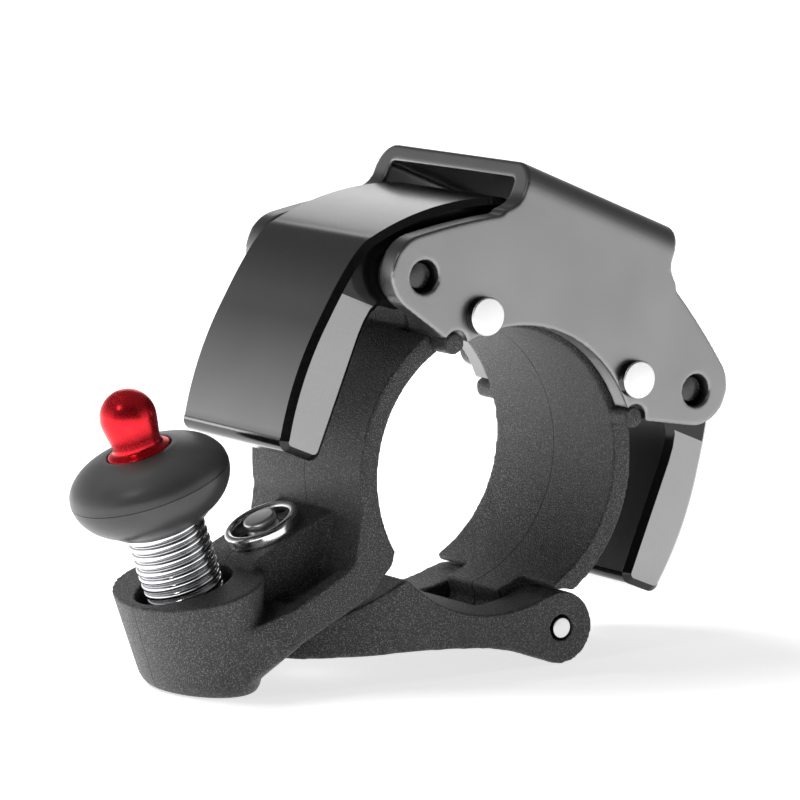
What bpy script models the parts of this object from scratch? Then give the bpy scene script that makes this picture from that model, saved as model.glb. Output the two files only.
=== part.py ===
"""Bicycle bell: a glossy bar bent round a handlebar clamp, with a sprung thumb striker.

Frame: origin on the handlebar's axis, midway between the side plates. +Y runs along the
handlebar to the rear, +Z is up and the striker stands on the -X side.
Two local frames are used. "bell" is the upright frame of the saddle bracket and the bell bar,
which leans TILT towards +X. "striker" has its z along the striker spring.
"""
import math

import bmesh
import bpy
from mathutils import Matrix, Vector

MM = 0.001
GAP = 0.3 * MM                  # clearance between pieces that bear on each other
FIT = 0.1 * MM                  # radial clearance of a pin in its own hole

# ---- handlebar clamp -------------------------------------------------------------------
BAR_RADIUS = 15.9 * MM          # for a 31.8 mm handlebar
RING_WALL = 2.3 * MM
RING_OUTER = BAR_RADIUS + RING_WALL
RING_CORE = BAR_RADIUS - 1.5 * MM   # walls are drawn in to here, then trimmed by the bore
HALF_WIDTH = 12.0 * MM          # jaw and link, along the handlebar
ARM_HALF_WIDTH = 11.7 * MM
TILT = math.radians(22.66)      # lean of the bell frame about +Y

# ---- saddle bracket (bell frame) -------------------------------------------------------
PLATE_Y = 15.5 * MM             # outer face of each side plate
SHEET = 2.8 * MM                # wall of the side plates
BRIDGE_TOP = 32.7 * MM
BRIDGE_SHEET = 1.9 * MM
BRIDGE_HALF = 11.1 * MM
PLATE_ARC = 16.4 * MM           # plate's lower edge, concentric with the handlebar
FOLD_RADIUS = 3.2 * MM
FOLD_INNER = 0.8 * MM
LOBE = (20.0 * MM, 16.6 * MM, 4.4 * MM)
PEG = (13.2 * MM, 10.7 * MM, 1.2 * MM)
PEG_START = 11.85 * MM
PEG_END = 15.2 * MM
STRIP_PIN = (20.1 * MM, 16.25 * MM)
CLAMP_PIN = (11.2 * MM, 14.76 * MM)

# ---- bell bar (bell frame) -------------------------------------------------------------
STRIP_HALF = 11.0 * MM
STRIP_TOP = 28.5 * MM
STRIP_THICK = 5.9 * MM
STRIP_ARC = 33.0 * MM           # radius of the crown, about (0, STRIP_ARC_Z)
STRIP_ARC_Z = -2.86 * MM
STRIP_END = -6.8 * MM
SHOULDER = (26.57 * MM, 16.7 * MM)
BARREL_RADIUS = 40.0 * MM       # outer face of the arms
BARREL_REACH = 28.45 * MM
BARREL_Z = 2.0 * MM
BARREL_LEAN = math.radians(9.3)
STRIP_INNER = 22.3 * MM
BOSS_RADIUS = 4.1 * MM
STRIP_CHAMFER = 0.7 * MM
BUSH_OUTER = 2.6 * MM
STRIP_PIN_RADIUS = 1.5 * MM
STRIP_PIN_HALF = 14.3 * MM

# ---- clamp hinges ----------------------------------------------------------------------
PIN_SHANK = 1.5 * MM
PIN_HEAD = 2.17 * MM
PIN_HEAD_HEIGHT = 1.2 * MM
KNUCKLE = 4.2 * MM
KNUCKLE_SPLIT = 6.0 * MM        # the arm's knuckle lies inside this, the jaw's outside
ARM_TOP = 142.5                 # degrees in the bell frame where the arm's ring wall starts
ARM_WALL_TOP = 106.0            # degrees in the world frame, where its middle meets the knuckle
JAW_TOP = 141.0
JAW_END = -58.0                 # degrees in the world frame
HINGE = (8.65 * MM, -19.15 * MM)
HINGE_KNUCKLE = 4.15 * MM
HINGE_PIN_RADIUS = 1.17 * MM
LUG_HALF = 5.5 * MM
SADDLE_RADIUS = 16.7 * MM
LINK_END = 13.3 * MM            # the link's free end is a half circle in plan, centred this far left

# ---- clamp bolt ------------------------------------------------------------------------
BOLT_TOP = (-24.17 * MM, -5.27 * MM)
BOLT_LEAN = math.radians(25.6)
BOLT_RADIUS = 1.9 * MM
BOLT_RISE = 0.4 * MM            # tip above the nut ring's top
NUT_HEIGHT = 1.4 * MM
NUT_OUTER = 4.4 * MM
NUT_INNER = 3.4 * MM
HEAD_TOP = -13.0 * MM           # under-head plane, along the bolt from BOLT_TOP
HEAD_HEIGHT = 2.6 * MM
HEAD_RADIUS = 3.3 * MM
WASHER_RADIUS = 3.7 * MM
WASHER_THICK = 0.6 * MM
ARM_OPEN = math.radians(14.0)   # travel of the arm from closed to open
LINK_RATIO = 5.0                # the link turns this many times as far, the other way

# ---- striker (striker frame: z along the spring) ---------------------------------------
STRIKER_BASE = (-33.79 * MM, -12.54 * MM)
STRIKER_LEAN = math.radians(19.5)
RIM_PLANE = (-34.54 * MM, -11.59 * MM)   # a point on the socket's sloping rim
RIM_SLOPE = math.radians(16.3)
POCKET_RADIUS = 5.6 * MM
POCKET_FLOOR = -3.4 * MM
CUP_RIM = (-33.6 * MM, 7.1 * MM, 11.5 * MM)     # centre x, half length, half width
CUP_FOOT = (-31.9 * MM, 5.7 * MM, 8.8 * MM)
SCREW_SEAT = 2.5 * MM           # counterbore for the screw from under the socket
SCREW_HOLE = 1.45 * MM
SEAT_TOP = -7.6 * MM
COIL_RADIUS = 4.05 * MM
WIRE_RADIUS = 0.45 * MM
COIL_PITCH = 0.95 * MM
SPRING_LOW = -2.4 * MM
SPRING_HIGH = 9.6 * MM
SPRING_PIVOT = -1.5 * MM        # the striker sways about this point
DISC_SEAM = 13.6 * MM
GROUND = -23.3 * MM


# =========================================================================================
# general helpers
# =========================================================================================
def clear_scene():
    for obj in list(bpy.data.objects):
        bpy.data.objects.remove(obj, do_unlink=True)


def arc(centre, radius, start, end, step=6.0):
    """Points on an arc in the x-z plane, from start to end degrees, both included."""
    count = max(2, int(math.ceil(abs(end - start) / step)) + 1)
    points = []
    for i in range(count):
        angle = math.radians(start + (end - start) * i / (count - 1))
        points.append((centre[0] + radius * math.cos(angle), centre[1] + radius * math.sin(angle)))
    return points


def polar(radius, degrees):
    angle = math.radians(degrees)
    return (radius * math.cos(angle), radius * math.sin(angle))


def mirrored(points):
    """The same outline on the -x side, in the order that continues from it."""
    return [(-x, z) for x, z in reversed(points)]


def to_world(point):
    """A bell-frame (x, z) in the world frame."""
    x, z = point
    return (x * math.cos(TILT) + z * math.sin(TILT), z * math.cos(TILT) - x * math.sin(TILT))


def turned_about(point, centre, angle):
    """(x, z) after a right-hand turn about +Y through the centre."""
    x = point[0] - centre[0]
    z = point[1] - centre[1]
    return (centre[0] + x * math.cos(angle) + z * math.sin(angle),
            centre[1] + z * math.cos(angle) - x * math.sin(angle))


def material(name, colour, roughness, metallic):
    mat = bpy.data.materials.new(name)
    mat.use_nodes = True
    shader = mat.node_tree.nodes["Principled BSDF"]
    shader.inputs["Base Color"].default_value = (*colour, 1.0)
    shader.inputs["Roughness"].default_value = roughness
    shader.inputs["Metallic"].default_value = metallic
    return mat


def object_from(name, mesh_builder, smooth=True):
    """A scene object from a bmesh, with its faces pointing out."""
    bmesh.ops.recalc_face_normals(mesh_builder, faces=mesh_builder.faces)
    mesh = bpy.data.meshes.new(name)
    mesh_builder.to_mesh(mesh)
    mesh_builder.free()
    if smooth:
        mesh.shade_smooth()
        mesh.set_sharp_from_angle(angle=math.radians(35))
    obj = bpy.data.objects.new(name, mesh)
    bpy.context.scene.collection.objects.link(obj)
    return obj


def prism(name, outline, low, high):
    """The x-z outline extruded along Y from low to high."""
    bm = bmesh.new()
    rings = []
    for y in (low, high):
        rings.append([bm.verts.new((x, y, z)) for x, z in outline])
    bm.faces.new(rings[0])
    bm.faces.new(list(reversed(rings[1])))
    count = len(outline)
    for i in range(count):
        after = (i + 1) % count
        bm.faces.new((rings[0][i], rings[1][i], rings[1][after], rings[0][after]))
    return object_from(name, bm)


def turned(name, profile, segments=32):
    """A closed (radius, z) profile turned about the z axis; a radius of 0 is on the axis."""
    bm = bmesh.new()
    rings = []
    for radius, z in profile:
        ring = []
        if radius > 0.0:
            for i in range(segments):
                angle = 2 * math.pi * i / segments
                ring.append(bm.verts.new((radius * math.cos(angle), radius * math.sin(angle), z)))
        rings.append(ring)
    for lower, upper in zip(rings, rings[1:] + rings[:1]):
        if not lower and not upper:
            continue
        if not lower or not upper:
            bm.faces.new(lower or upper)
            continue
        for i in range(segments):
            after = (i + 1) % segments
            bm.faces.new((lower[i], upper[i], upper[after], lower[after]))
    return object_from(name, bm)


def cylinder(name, radius, low, high, segments=32):
    return turned(name, [(0.0, low), (radius, low), (radius, high), (0.0, high)], segments)


def along_y(obj, point):
    """Lay an object that was turned about z along Y through the x-z point."""
    obj.data.transform(Matrix.Translation((point[0], 0, point[1])) @ Matrix.Rotation(-math.pi / 2, 4, "X"))
    return obj


def leaned(obj, base, lean):
    """Stand an object that was turned about z on the base point, leaning towards -X."""
    obj.data.transform(Matrix.Translation((base[0], 0, base[1])) @ Matrix.Rotation(-lean, 4, "Y"))
    return obj


def on_bolt(obj):
    return leaned(obj, BOLT_TOP, BOLT_LEAN)


def on_striker(obj):
    return leaned(obj, STRIKER_BASE, STRIKER_LEAN)


def striker_point(distance):
    """World (x, z) on the striker's axis."""
    return (STRIKER_BASE[0] - distance * math.sin(STRIKER_LEAN),
            STRIKER_BASE[1] + distance * math.cos(STRIKER_LEAN))


def bolt_point(distance):
    """World (x, z) on the bolt's axis."""
    return (BOLT_TOP[0] - distance * math.sin(BOLT_LEAN), BOLT_TOP[1] + distance * math.cos(BOLT_LEAN))


def combine(obj, tool, operation):
    """Boolean the tool into obj; the tool stays as a hidden guide."""
    modifier = obj.modifiers.new(operation.lower() + "_" + tool.name, "BOOLEAN")
    modifier.object = tool
    modifier.operation = operation
    tool.hide_render = True
    tool.display_type = "WIRE"
    tool.hide_set(True)


def cut(obj, tool):
    combine(obj, tool, "DIFFERENCE")


def join(obj, tool):
    combine(obj, tool, "UNION")


def origin_at(obj, point):
    """Move the object's origin to the x-z point, with its shape staying where it is."""
    place = Vector((point[0], 0, point[1]))
    obj.data.transform(Matrix.Translation(-place))
    obj.location = place


def hole(name, point, radius, reach):
    """A cutter for a round hole along Y."""
    return along_y(cylinder(name, radius, -reach, reach, 24), point)


# =========================================================================================
# saddle bracket
# =========================================================================================
def plate_outline():
    """Side plate: arc over the handlebar, a lobe for each bell pin, a bridge on top."""
    lobe = LOBE[:2]
    reach = 80.0 * MM                       # crown of the sloping upper edge
    slope_end = 55.0
    crown = (lobe[0] + (LOBE[2] - reach) * math.cos(math.radians(slope_end)),
             lobe[1] + (LOBE[2] - reach) * math.sin(math.radians(slope_end)))
    half = arc((0, 0), PLATE_ARC, 90, 43.8)
    half += arc(PEG[:2], 1.5 * MM, 154, 4, 30)
    half += arc(lobe, LOBE[2], -77.6, slope_end, 11)
    half += arc(crown, reach, slope_end + 4, slope_end + 8, 4)
    half += arc((14.1 * MM, 29.3 * MM), 3.0 * MM, 241, 180, 15)
    half.append((BRIDGE_HALF, BRIDGE_TOP))
    return half + mirrored(half)[:-1]


def channel_profile():
    """Cross-section of the folded sheet, as (y, z): an upside-down U with round folds."""
    floor = 0.0
    ceiling = BRIDGE_TOP - BRIDGE_SHEET
    outer_half = arc((PLATE_Y - FOLD_RADIUS, BRIDGE_TOP - FOLD_RADIUS), FOLD_RADIUS, 0, 90, 15)
    inner_half = arc((PLATE_Y - SHEET - FOLD_INNER, ceiling - FOLD_INNER), FOLD_INNER, 90, 0, 30)
    right = [(PLATE_Y, floor)] + outer_half
    inside = inner_half + [(PLATE_Y - SHEET, floor)]
    left = [(-y, z) for y, z in reversed(right)]
    inside_left = [(-y, z) for y, z in reversed(inside)]
    return right + left + inside_left + inside


def saddle_bracket(frame):
    bracket = prism("saddle_bracket", plate_outline(), -PLATE_Y - MM, PLATE_Y + MM)
    folded = prism("guide_channel", channel_profile(), -30 * MM, 30 * MM)
    folded.data.transform(Matrix.Rotation(math.pi / 2, 4, "Z"))
    combine(bracket, folded, "INTERSECT")
    for side in (-1, 1):
        pin_hole = hole("guide_strip_hole", (side * STRIP_PIN[0], STRIP_PIN[1]), 1.85 * MM, 20 * MM)
        rivet_hole = hole("guide_rivet_hole", (side * CLAMP_PIN[0], CLAMP_PIN[1]), PIN_SHANK + FIT, 20 * MM)
        for cutter in (pin_hole, rivet_hole):
            cut(bracket, cutter)
            cutter.parent = frame
    folded.parent = frame
    bracket.parent = frame
    bracket.data.materials.append(material("satin_paint", (0.06, 0.06, 0.065), 0.45, 0.3))


# =========================================================================================
# bell bar, its pins and bushes
# =========================================================================================
def strip_outline():
    """Half of the bar's side view, outside face first, from the crown to the arm's end."""
    crown = (0.0, STRIP_ARC_Z)
    flat_angle = math.degrees(math.asin((STRIP_TOP - STRIP_ARC_Z) / STRIP_ARC))
    shoulder_angle = math.degrees(math.atan2(SHOULDER[1] - STRIP_ARC_Z, SHOULDER[0]))
    outside = arc(crown, STRIP_ARC, flat_angle, shoulder_angle + 5)
    barrel = (BARREL_REACH - BARREL_RADIUS, BARREL_Z)
    lean = math.degrees(BARREL_LEAN)
    outside.append((SHOULDER[0] - 0.2 * MM, SHOULDER[1] + 0.35 * MM))
    outside.append((SHOULDER[0] + 0.25 * MM, SHOULDER[1] - 1.6 * MM))
    end_angle = math.degrees(math.asin((STRIP_END - BARREL_Z) / BARREL_RADIUS))
    outside += arc(barrel, BARREL_RADIUS, lean, end_angle + 1.9, 4)
    outside.append((outside[-1][0] - 0.9 * MM, STRIP_END))
    boss = STRIP_PIN
    inside = [(STRIP_INNER + 0.9 * MM, STRIP_END), (STRIP_INNER, STRIP_END + 1.1 * MM)]
    inside += [(STRIP_INNER, 8.0 * MM), (STRIP_INNER - 0.35 * MM, 10.9 * MM), (21.2 * MM, 12.0 * MM)]
    inside += arc(boss, BOSS_RADIUS, 272, 147, 15)
    inner_arc = STRIP_ARC - STRIP_THICK
    inner_flat = math.degrees(math.asin((STRIP_TOP - STRIP_THICK - STRIP_ARC_Z) / inner_arc))
    inside += arc(crown, inner_arc, 52, inner_flat, 6)
    return outside, inside


def bell_strip(frame):
    outside, inside = strip_outline()
    outline = outside + inside
    strip = prism("bell_strip", outline + mirrored(outline), -STRIP_HALF, STRIP_HALF)
    bevel = strip.modifiers.new("chamfer", "BEVEL")
    bevel.width = STRIP_CHAMFER
    bevel.segments = 1
    bevel.limit_method = "ANGLE"
    bevel.angle_limit = math.radians(60)
    for side in (-1, 1):
        cutter = hole("guide_bush_hole", (side * STRIP_PIN[0], STRIP_PIN[1]), BUSH_OUTER + FIT, 20 * MM)
        cut(strip, cutter)
        cutter.parent = frame
    strip.parent = frame
    strip.data.materials.append(material("black_gloss", (0.03, 0.03, 0.032), 0.12, 0.6))


def strip_mount(frame, side, label):
    """One bell pin with a flanged rubber bush at each end of the bar."""
    point = (side * STRIP_PIN[0], STRIP_PIN[1])
    bevel = 0.2 * MM
    profile = [(0.0, -STRIP_PIN_HALF), (STRIP_PIN_RADIUS - bevel, -STRIP_PIN_HALF),
               (STRIP_PIN_RADIUS, -STRIP_PIN_HALF + bevel), (STRIP_PIN_RADIUS, STRIP_PIN_HALF - bevel),
               (STRIP_PIN_RADIUS - bevel, STRIP_PIN_HALF), (0.0, STRIP_PIN_HALF)]
    pin = along_y(turned("strip_pin_" + label, profile, 20), point)
    pin.parent = frame
    pin.data.materials.append(material("steel_pin", (0.55, 0.55, 0.56), 0.25, 1.0))
    rubber = material("black_rubber", (0.02, 0.02, 0.02), 0.8, 0.0)
    inner = STRIP_PIN_RADIUS + FIT
    flange_low = STRIP_HALF + 0.1 * MM
    flange_high = PLATE_Y - SHEET - 0.1 * MM
    for end, word in ((-1, "front"), (1, "rear")):
        sleeve = [(inner, 5 * MM), (BUSH_OUTER, 5 * MM), (BUSH_OUTER, flange_low), (3.4 * MM, flange_low),
                  (3.4 * MM, flange_high), (inner, flange_high)]
        profile = [(radius, end * height) for radius, height in sleeve]
        bush = along_y(turned("strip_bush_%s_%s" % (label, word), profile, 24), point)
        bush.parent = frame
        bush.data.materials.append(rubber)


# =========================================================================================
# clamp: rivets, jaw, arm, link
# =========================================================================================
def clamp_rivet(frame, side, label):
    """A pin through both plates and the clamp's knuckles, headed on both sides."""
    head = PLATE_Y + 0.05 * MM
    top = PLATE_Y + PIN_HEAD_HEIGHT
    edge = 0.15 * MM
    half = [(PIN_SHANK, head), (PIN_HEAD, head), (PIN_HEAD, top - edge), (PIN_HEAD - edge, top), (0.0, top)]
    profile = [(radius, -height) for radius, height in reversed(half)] + half
    rivet = along_y(turned("clamp_pin_" + label, profile, 24), (side * CLAMP_PIN[0], CLAMP_PIN[1]))
    rivet.parent = frame
    rivet.data.materials.append(material("bright_pin", (0.85, 0.85, 0.85), 0.3, 0.8))


def wedge(name, start, end, low, high):
    """A cutter that covers everything round the handlebar between two world angles."""
    outline = [(0.0, 0.0)] + arc((0, 0), 40 * MM, start, end, 20)
    return prism(name, outline, low, high)


def bore(name):
    """The handlebar's own space; its flats touch the bar's surface from outside."""
    sides = 72
    return along_y(cylinder(name, BAR_RADIUS / math.cos(math.pi / sides), -20 * MM, 20 * MM, sides), (0, 0))


def knuckle(name, point, radius, low, high, segments=32):
    return along_y(cylinder(name, radius, low, high, segments), point)


def clamp_jaw():
    """Fixed half of the clamp: it carries the right of the ring and the hinge lug."""
    left_pin = to_world((-CLAMP_PIN[0], CLAMP_PIN[1]))
    right_pin = to_world(CLAMP_PIN)
    lean = math.degrees(TILT)
    inner_side = KNUCKLE_SPLIT + GAP
    lug_end = JAW_END - 16
    outline = arc((0, 0), RING_OUTER, JAW_TOP - lean, lug_end, 5)
    outline += arc((0, 0), RING_CORE, lug_end, JAW_TOP - lean, 9)
    jaw = prism("clamp_jaw", outline, -HALF_WIDTH, HALF_WIDTH)
    join(jaw, knuckle("guide_right_knuckle", right_pin, KNUCKLE, -HALF_WIDTH, HALF_WIDTH))
    join(jaw, knuckle("guide_left_knuckle", left_pin, KNUCKLE, -HALF_WIDTH, HALF_WIDTH))
    join(jaw, knuckle("guide_lug", HINGE, HINGE_KNUCKLE, -HALF_WIDTH, HALF_WIDTH))
    arm_room = arc(left_pin, KNUCKLE + GAP, -100, 70, 10) + [polar(30 * MM, 100), polar(30 * MM, 130)]
    arm_room.append(polar(10 * MM, 122))
    cut(jaw, prism("guide_arm_room", arm_room, -inner_side, inner_side))
    link_room = arc(HINGE, HINGE_KNUCKLE + GAP, 48, 100, 10)
    link_room += [polar(13 * MM, JAW_END - 2), polar(13 * MM, JAW_END - 34)]
    link_room += [polar(30 * MM, JAW_END - 34), polar(30 * MM, JAW_END + 10)]
    for low, high in ((-20 * MM, -LUG_HALF), (LUG_HALF, 20 * MM)):
        cut(jaw, prism("guide_link_room", link_room, low, high))
    for side in (-1, 1):
        peg_point = to_world((side * PEG[0], PEG[1]))
        for low, high in ((-PEG_END, -PEG_START), (PEG_START, PEG_END)):
            join(jaw, knuckle("guide_peg", peg_point, PEG[2], low, high, 20))
    cut(jaw, bore("guide_jaw_bore"))
    for point in (left_pin, right_pin):
        cut(jaw, hole("guide_jaw_pin", point, PIN_SHANK + FIT, 20 * MM))
    cut(jaw, hole("guide_jaw_hinge", HINGE, HINGE_PIN_RADIUS + FIT, 20 * MM))
    jaw.data.materials.append(material("grained_plastic", (0.05, 0.05, 0.05), 0.55, 0.0))


UNDERSIDE = [(-14.0, -9.8), (-15.2, -11.0), (-16.7, -13.0), (-27.0, -17.94)]
BAND_TOP = (-27.0, -13.6)


def scaled(points):
    return [(x * MM, z * MM) for x, z in points]


def band_outline():
    """Side band of the arm: ring wall, then a strip that runs down to the striker socket."""
    ring = arc((0, 0), RING_OUTER, ARM_WALL_TOP, 190, 5)
    top_edge = scaled([(-18.7, -8.6), (-20.2, -10.1), BAND_TOP])
    inside = arc((0, 0), RING_CORE, 205, ARM_WALL_TOP, 9)
    return ring + top_edge + list(reversed(scaled(UNDERSIDE))) + inside


def core_outline():
    """Middle of the arm: it rises to the platform under the nut ring."""
    platform = bolt_point(-NUT_HEIGHT - 0.05 * MM)
    along = (-math.cos(BOLT_LEAN), -math.sin(BOLT_LEAN))
    right = (platform[0] - along[0] * 7.4 * MM, platform[1] - along[1] * 7.4 * MM)
    left = (platform[0] + along[0] * 5.0 * MM, platform[1] + along[1] * 5.0 * MM)
    return [right, left] + scaled([(-30.0, -13.0), (-26.5, -16.9), (-17.0, -12.3), (-16.3, -6.0)])


def cup_point(angle, depth, part_x=1.0, part_y=1.0):
    """A point on the striker socket's wall; depth runs from 0 at the rim to 1 at the foot."""
    top_x = CUP_RIM[0] + CUP_RIM[1] * math.cos(angle)
    top_z = RIM_PLANE[1] + (top_x - RIM_PLANE[0]) * math.tan(RIM_SLOPE)
    foot_x = CUP_FOOT[0] + CUP_FOOT[1] * math.cos(angle) * part_x
    width = CUP_RIM[2] * (1 - depth) + CUP_FOOT[2] * part_y * depth
    return (top_x * (1 - depth) + foot_x * depth, width * math.sin(angle),
            top_z * (1 - depth) + GROUND * depth)


def socket_cup():
    """Tapered oval cup that holds the spring, with a rounded foot."""
    bm = bmesh.new()
    levels = ((0.0, 1.0, 1.0), (0.55, 1.0, 1.0), (0.86, 0.985, 0.98), (0.96, 0.93, 0.92), (1.0, 0.84, 0.85))
    around = 40
    rings = []
    for depth, part_x, part_y in levels:
        angles = [2 * math.pi * i / around for i in range(around)]
        rings.append([bm.verts.new(cup_point(angle, depth, part_x, part_y)) for angle in angles])
    bm.faces.new(rings[0])
    bm.faces.new(list(reversed(rings[-1])))
    for upper, lower in zip(rings, rings[1:]):
        for i in range(around):
            after = (i + 1) % around
            bm.faces.new((upper[i], lower[i], lower[after], upper[after]))
    return object_from("guide_cup", bm)


def hull(name, points):
    bm = bmesh.new()
    for point in points:
        bm.verts.new(point)
    bmesh.ops.convex_hull(bm, input=bm.verts)
    loose = [vert for vert in bm.verts if not vert.link_faces]
    bmesh.ops.delete(bm, geom=loose, context="VERTS")
    return object_from(name, bm)


def band_end():
    """Drafted blend from the end of the side band into the socket's wall."""
    points = []
    for side in (-1, 1):
        for x, z in scaled([(-26.0, -13.09), BAND_TOP, (-26.0, -17.46), UNDERSIDE[-1]]):
            points.append((x, side * (ARM_HALF_WIDTH - 0.05 * MM), z))
        for depth in (0.36, 0.5, 0.7, 0.87):
            for degrees in (50, 68, 86):
                x, y, z = cup_point(math.radians(degrees), depth)
                points.append((x, side * y, z))
    return hull("guide_band_end", points)


def bolt_sweep():
    """Slot in the arm that the bolt swings out through while the clamp opens."""
    left_pin = to_world((-CLAMP_PIN[0], CLAMP_PIN[1]))
    reach = BOLT_RADIUS + 0.35 * MM
    points = []
    for step in range(9):
        arm_turn = ARM_OPEN * 0.05 * step
        for distance in (-15 * MM, BOLT_RISE + 0.3 * MM):
            for offset in (-reach, reach):
                centre = bolt_point(distance)
                corner = (centre[0] + offset * math.cos(BOLT_LEAN), centre[1] + offset * math.sin(BOLT_LEAN))
                moved = turned_about(corner, HINGE, -LINK_RATIO * arm_turn)
                x, z = turned_about(moved, left_pin, -arm_turn)
                points += [(x, -reach, z), (x, reach, z)]
    return hull("guide_bolt_slot", points)


def clamp_arm():
    """Swinging half of the clamp, with the nut platform and the striker socket."""
    left_pin = to_world((-CLAMP_PIN[0], CLAMP_PIN[1]))
    width = ARM_HALF_WIDTH
    arm = prism("clamp_arm", band_outline(), -width, width)
    jaw_gap = ARM_TOP - math.degrees(TILT)
    for low, high in ((-20 * MM, -KNUCKLE_SPLIT), (KNUCKLE_SPLIT, 20 * MM)):
        cut(arm, wedge("guide_jaw_side", jaw_gap - 40, jaw_gap, low, high))
        cut(arm, knuckle("guide_jaw_room", left_pin, KNUCKLE + GAP, low, high))
    for low, high in ((-width + 2.2 * MM, -4.0 * MM), (4.0 * MM, width - 2.2 * MM)):
        pocket = scaled([(-19.4, -3.0), (-19.4, -10.9), (-21.0, -11.9), (-27.5, -14.9), (-27.5, -3.0)])
        cut(arm, prism("guide_side_pocket", pocket, low, high))
    join(arm, prism("guide_core", core_outline(), -5.6 * MM, 5.6 * MM))
    join(arm, socket_cup())
    join(arm, band_end())
    join(arm, knuckle("guide_arm_knuckle", left_pin, KNUCKLE, -KNUCKLE_SPLIT, KNUCKLE_SPLIT))
    cut(arm, bore("guide_arm_bore"))
    cut(arm, hole("guide_arm_pin", left_pin, PIN_SHANK + FIT, 20 * MM))
    cut(arm, bolt_sweep())
    pocket = [(0.0, -20 * MM), (SCREW_SEAT, -20 * MM), (SCREW_SEAT, SEAT_TOP), (SCREW_HOLE, SEAT_TOP),
              (SCREW_HOLE, POCKET_FLOOR), (POCKET_RADIUS, POCKET_FLOOR), (POCKET_RADIUS, 12 * MM),
              (0.0, 12 * MM)]
    cut(arm, on_striker(turned("guide_spring_pocket", pocket, 36)))
    origin_at(arm, left_pin)
    arm.data.materials.append(material("grained_plastic_arm", (0.05, 0.05, 0.05), 0.55, 0.0))


def link_outline():
    """Side view of the strap under the handlebar, clockwise from the hinge knuckle."""
    knuckle_side = arc(HINGE, HINGE_KNUCKLE, -120, 114, 12)
    saddle = arc((0, 0), SADDLE_RADIUS, -67, -135, 5)
    peak = scaled([(-12.5, -11.5), (-13.2, -11.9), (-17.0, -13.75), (-27.0, -18.55), (-27.0, -20.6)])
    lower = scaled([(-20.2, -19.9), (-13.5, -19.7), (-6.7, -20.0), (-1.3, -20.5), (2.0, -21.2)])
    return knuckle_side + saddle + peak + lower


def hinge_link():
    """Strap that closes the ring under the handlebar."""
    link = prism("hinge_link", link_outline(), -HALF_WIDTH - MM, HALF_WIDTH + MM)
    plan = arc((-LINK_END, 0.0), HALF_WIDTH, 90, 270, 9) + [(20 * MM, -HALF_WIDTH), (20 * MM, HALF_WIDTH)]
    rounded = prism("guide_link_plan", plan, -40 * MM, 10 * MM)
    rounded.data.transform(Matrix.Rotation(math.pi / 2, 4, "X"))
    combine(link, rounded, "INTERSECT")
    lug_room = LUG_HALF + GAP
    slot = arc(HINGE, HINGE_KNUCKLE + 0.4 * MM, 300, 180, 12)
    slot += scaled([(2.0, -18.4), (0.5, -16.0), (0.5, -12.0), (14.5, -12.0), (14.5, -26.0), (10.7, -26.0)])
    cut(link, prism("guide_lug_slot", slot, -lug_room, lug_room))
    cut(link, hole("guide_link_hinge", HINGE, HINGE_PIN_RADIUS + 0.3 * MM, 20 * MM))
    cut(link, on_bolt(cylinder("guide_link_bolt", BOLT_RADIUS + 0.25 * MM, -25 * MM, 0.0)))
    seat = HEAD_TOP + WASHER_THICK + 0.15 * MM
    cut(link, on_bolt(cylinder("guide_head_seat", WASHER_RADIUS + 0.2 * MM, -25 * MM, seat)))
    origin_at(link, HINGE)
    link.data.materials.append(material("grained_plastic_link", (0.045, 0.045, 0.045), 0.55, 0.0))


def hinge_pin():
    reach = HALF_WIDTH + 0.05 * MM
    edge = 0.12 * MM
    half = [(HINGE_PIN_RADIUS, reach - edge), (HINGE_PIN_RADIUS - edge, reach), (0.0, reach)]
    profile = [(radius, -height) for radius, height in reversed(half)] + half
    pin = along_y(turned("hinge_pin", profile, 20), HINGE)
    pin.data.materials.append(material("bright_hinge_pin", (0.85, 0.85, 0.85), 0.3, 0.8))


# =========================================================================================
# clamp bolt
# =========================================================================================
def clamp_nut():
    """Chrome ring that stands on the arm round the end of the bolt."""
    low = -NUT_HEIGHT
    profile = [(NUT_INNER, low), (NUT_OUTER, low), (NUT_OUTER, low + 0.7 * MM), (NUT_OUTER - 0.25 * MM, -0.25 * MM),
               (NUT_OUTER - 0.5 * MM, 0.0), (NUT_INNER + 0.2 * MM, 0.0), (NUT_INNER, -0.2 * MM)]
    nut = on_bolt(turned("clamp_nut", profile, 32))
    nut.data.materials.append(material("chrome_ring", (0.8, 0.8, 0.8), 0.08, 1.0))


def clamp_bolt():
    """Socket-head bolt from below, its polished end in the nut ring."""
    edge = 0.2 * MM
    low = HEAD_TOP - HEAD_HEIGHT
    socket = low + 1.5 * MM
    profile = [(0.0, socket), (1.5 * MM, socket), (1.5 * MM, low), (HEAD_RADIUS - edge, low),
               (HEAD_RADIUS, low + edge), (HEAD_RADIUS, HEAD_TOP), (BOLT_RADIUS, HEAD_TOP),
               (BOLT_RADIUS, BOLT_RISE - edge), (BOLT_RADIUS - edge, BOLT_RISE), (0.0, BOLT_RISE)]
    bolt = on_bolt(turned("clamp_bolt", profile, 24))
    origin_at(bolt, BOLT_TOP)
    bolt.data.materials.append(material("chrome_bolt", (0.75, 0.75, 0.75), 0.15, 1.0))
    washer_low = HEAD_TOP + 0.05 * MM
    inner = BOLT_RADIUS + FIT
    ring = [(inner, washer_low), (WASHER_RADIUS, washer_low), (WASHER_RADIUS, washer_low + WASHER_THICK),
            (inner, washer_low + WASHER_THICK)]
    washer = on_bolt(turned("bolt_washer", ring, 24))
    origin_at(washer, BOLT_TOP)
    washer.data.materials.append(material("steel_washer", (0.6, 0.6, 0.6), 0.3, 1.0))


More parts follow.
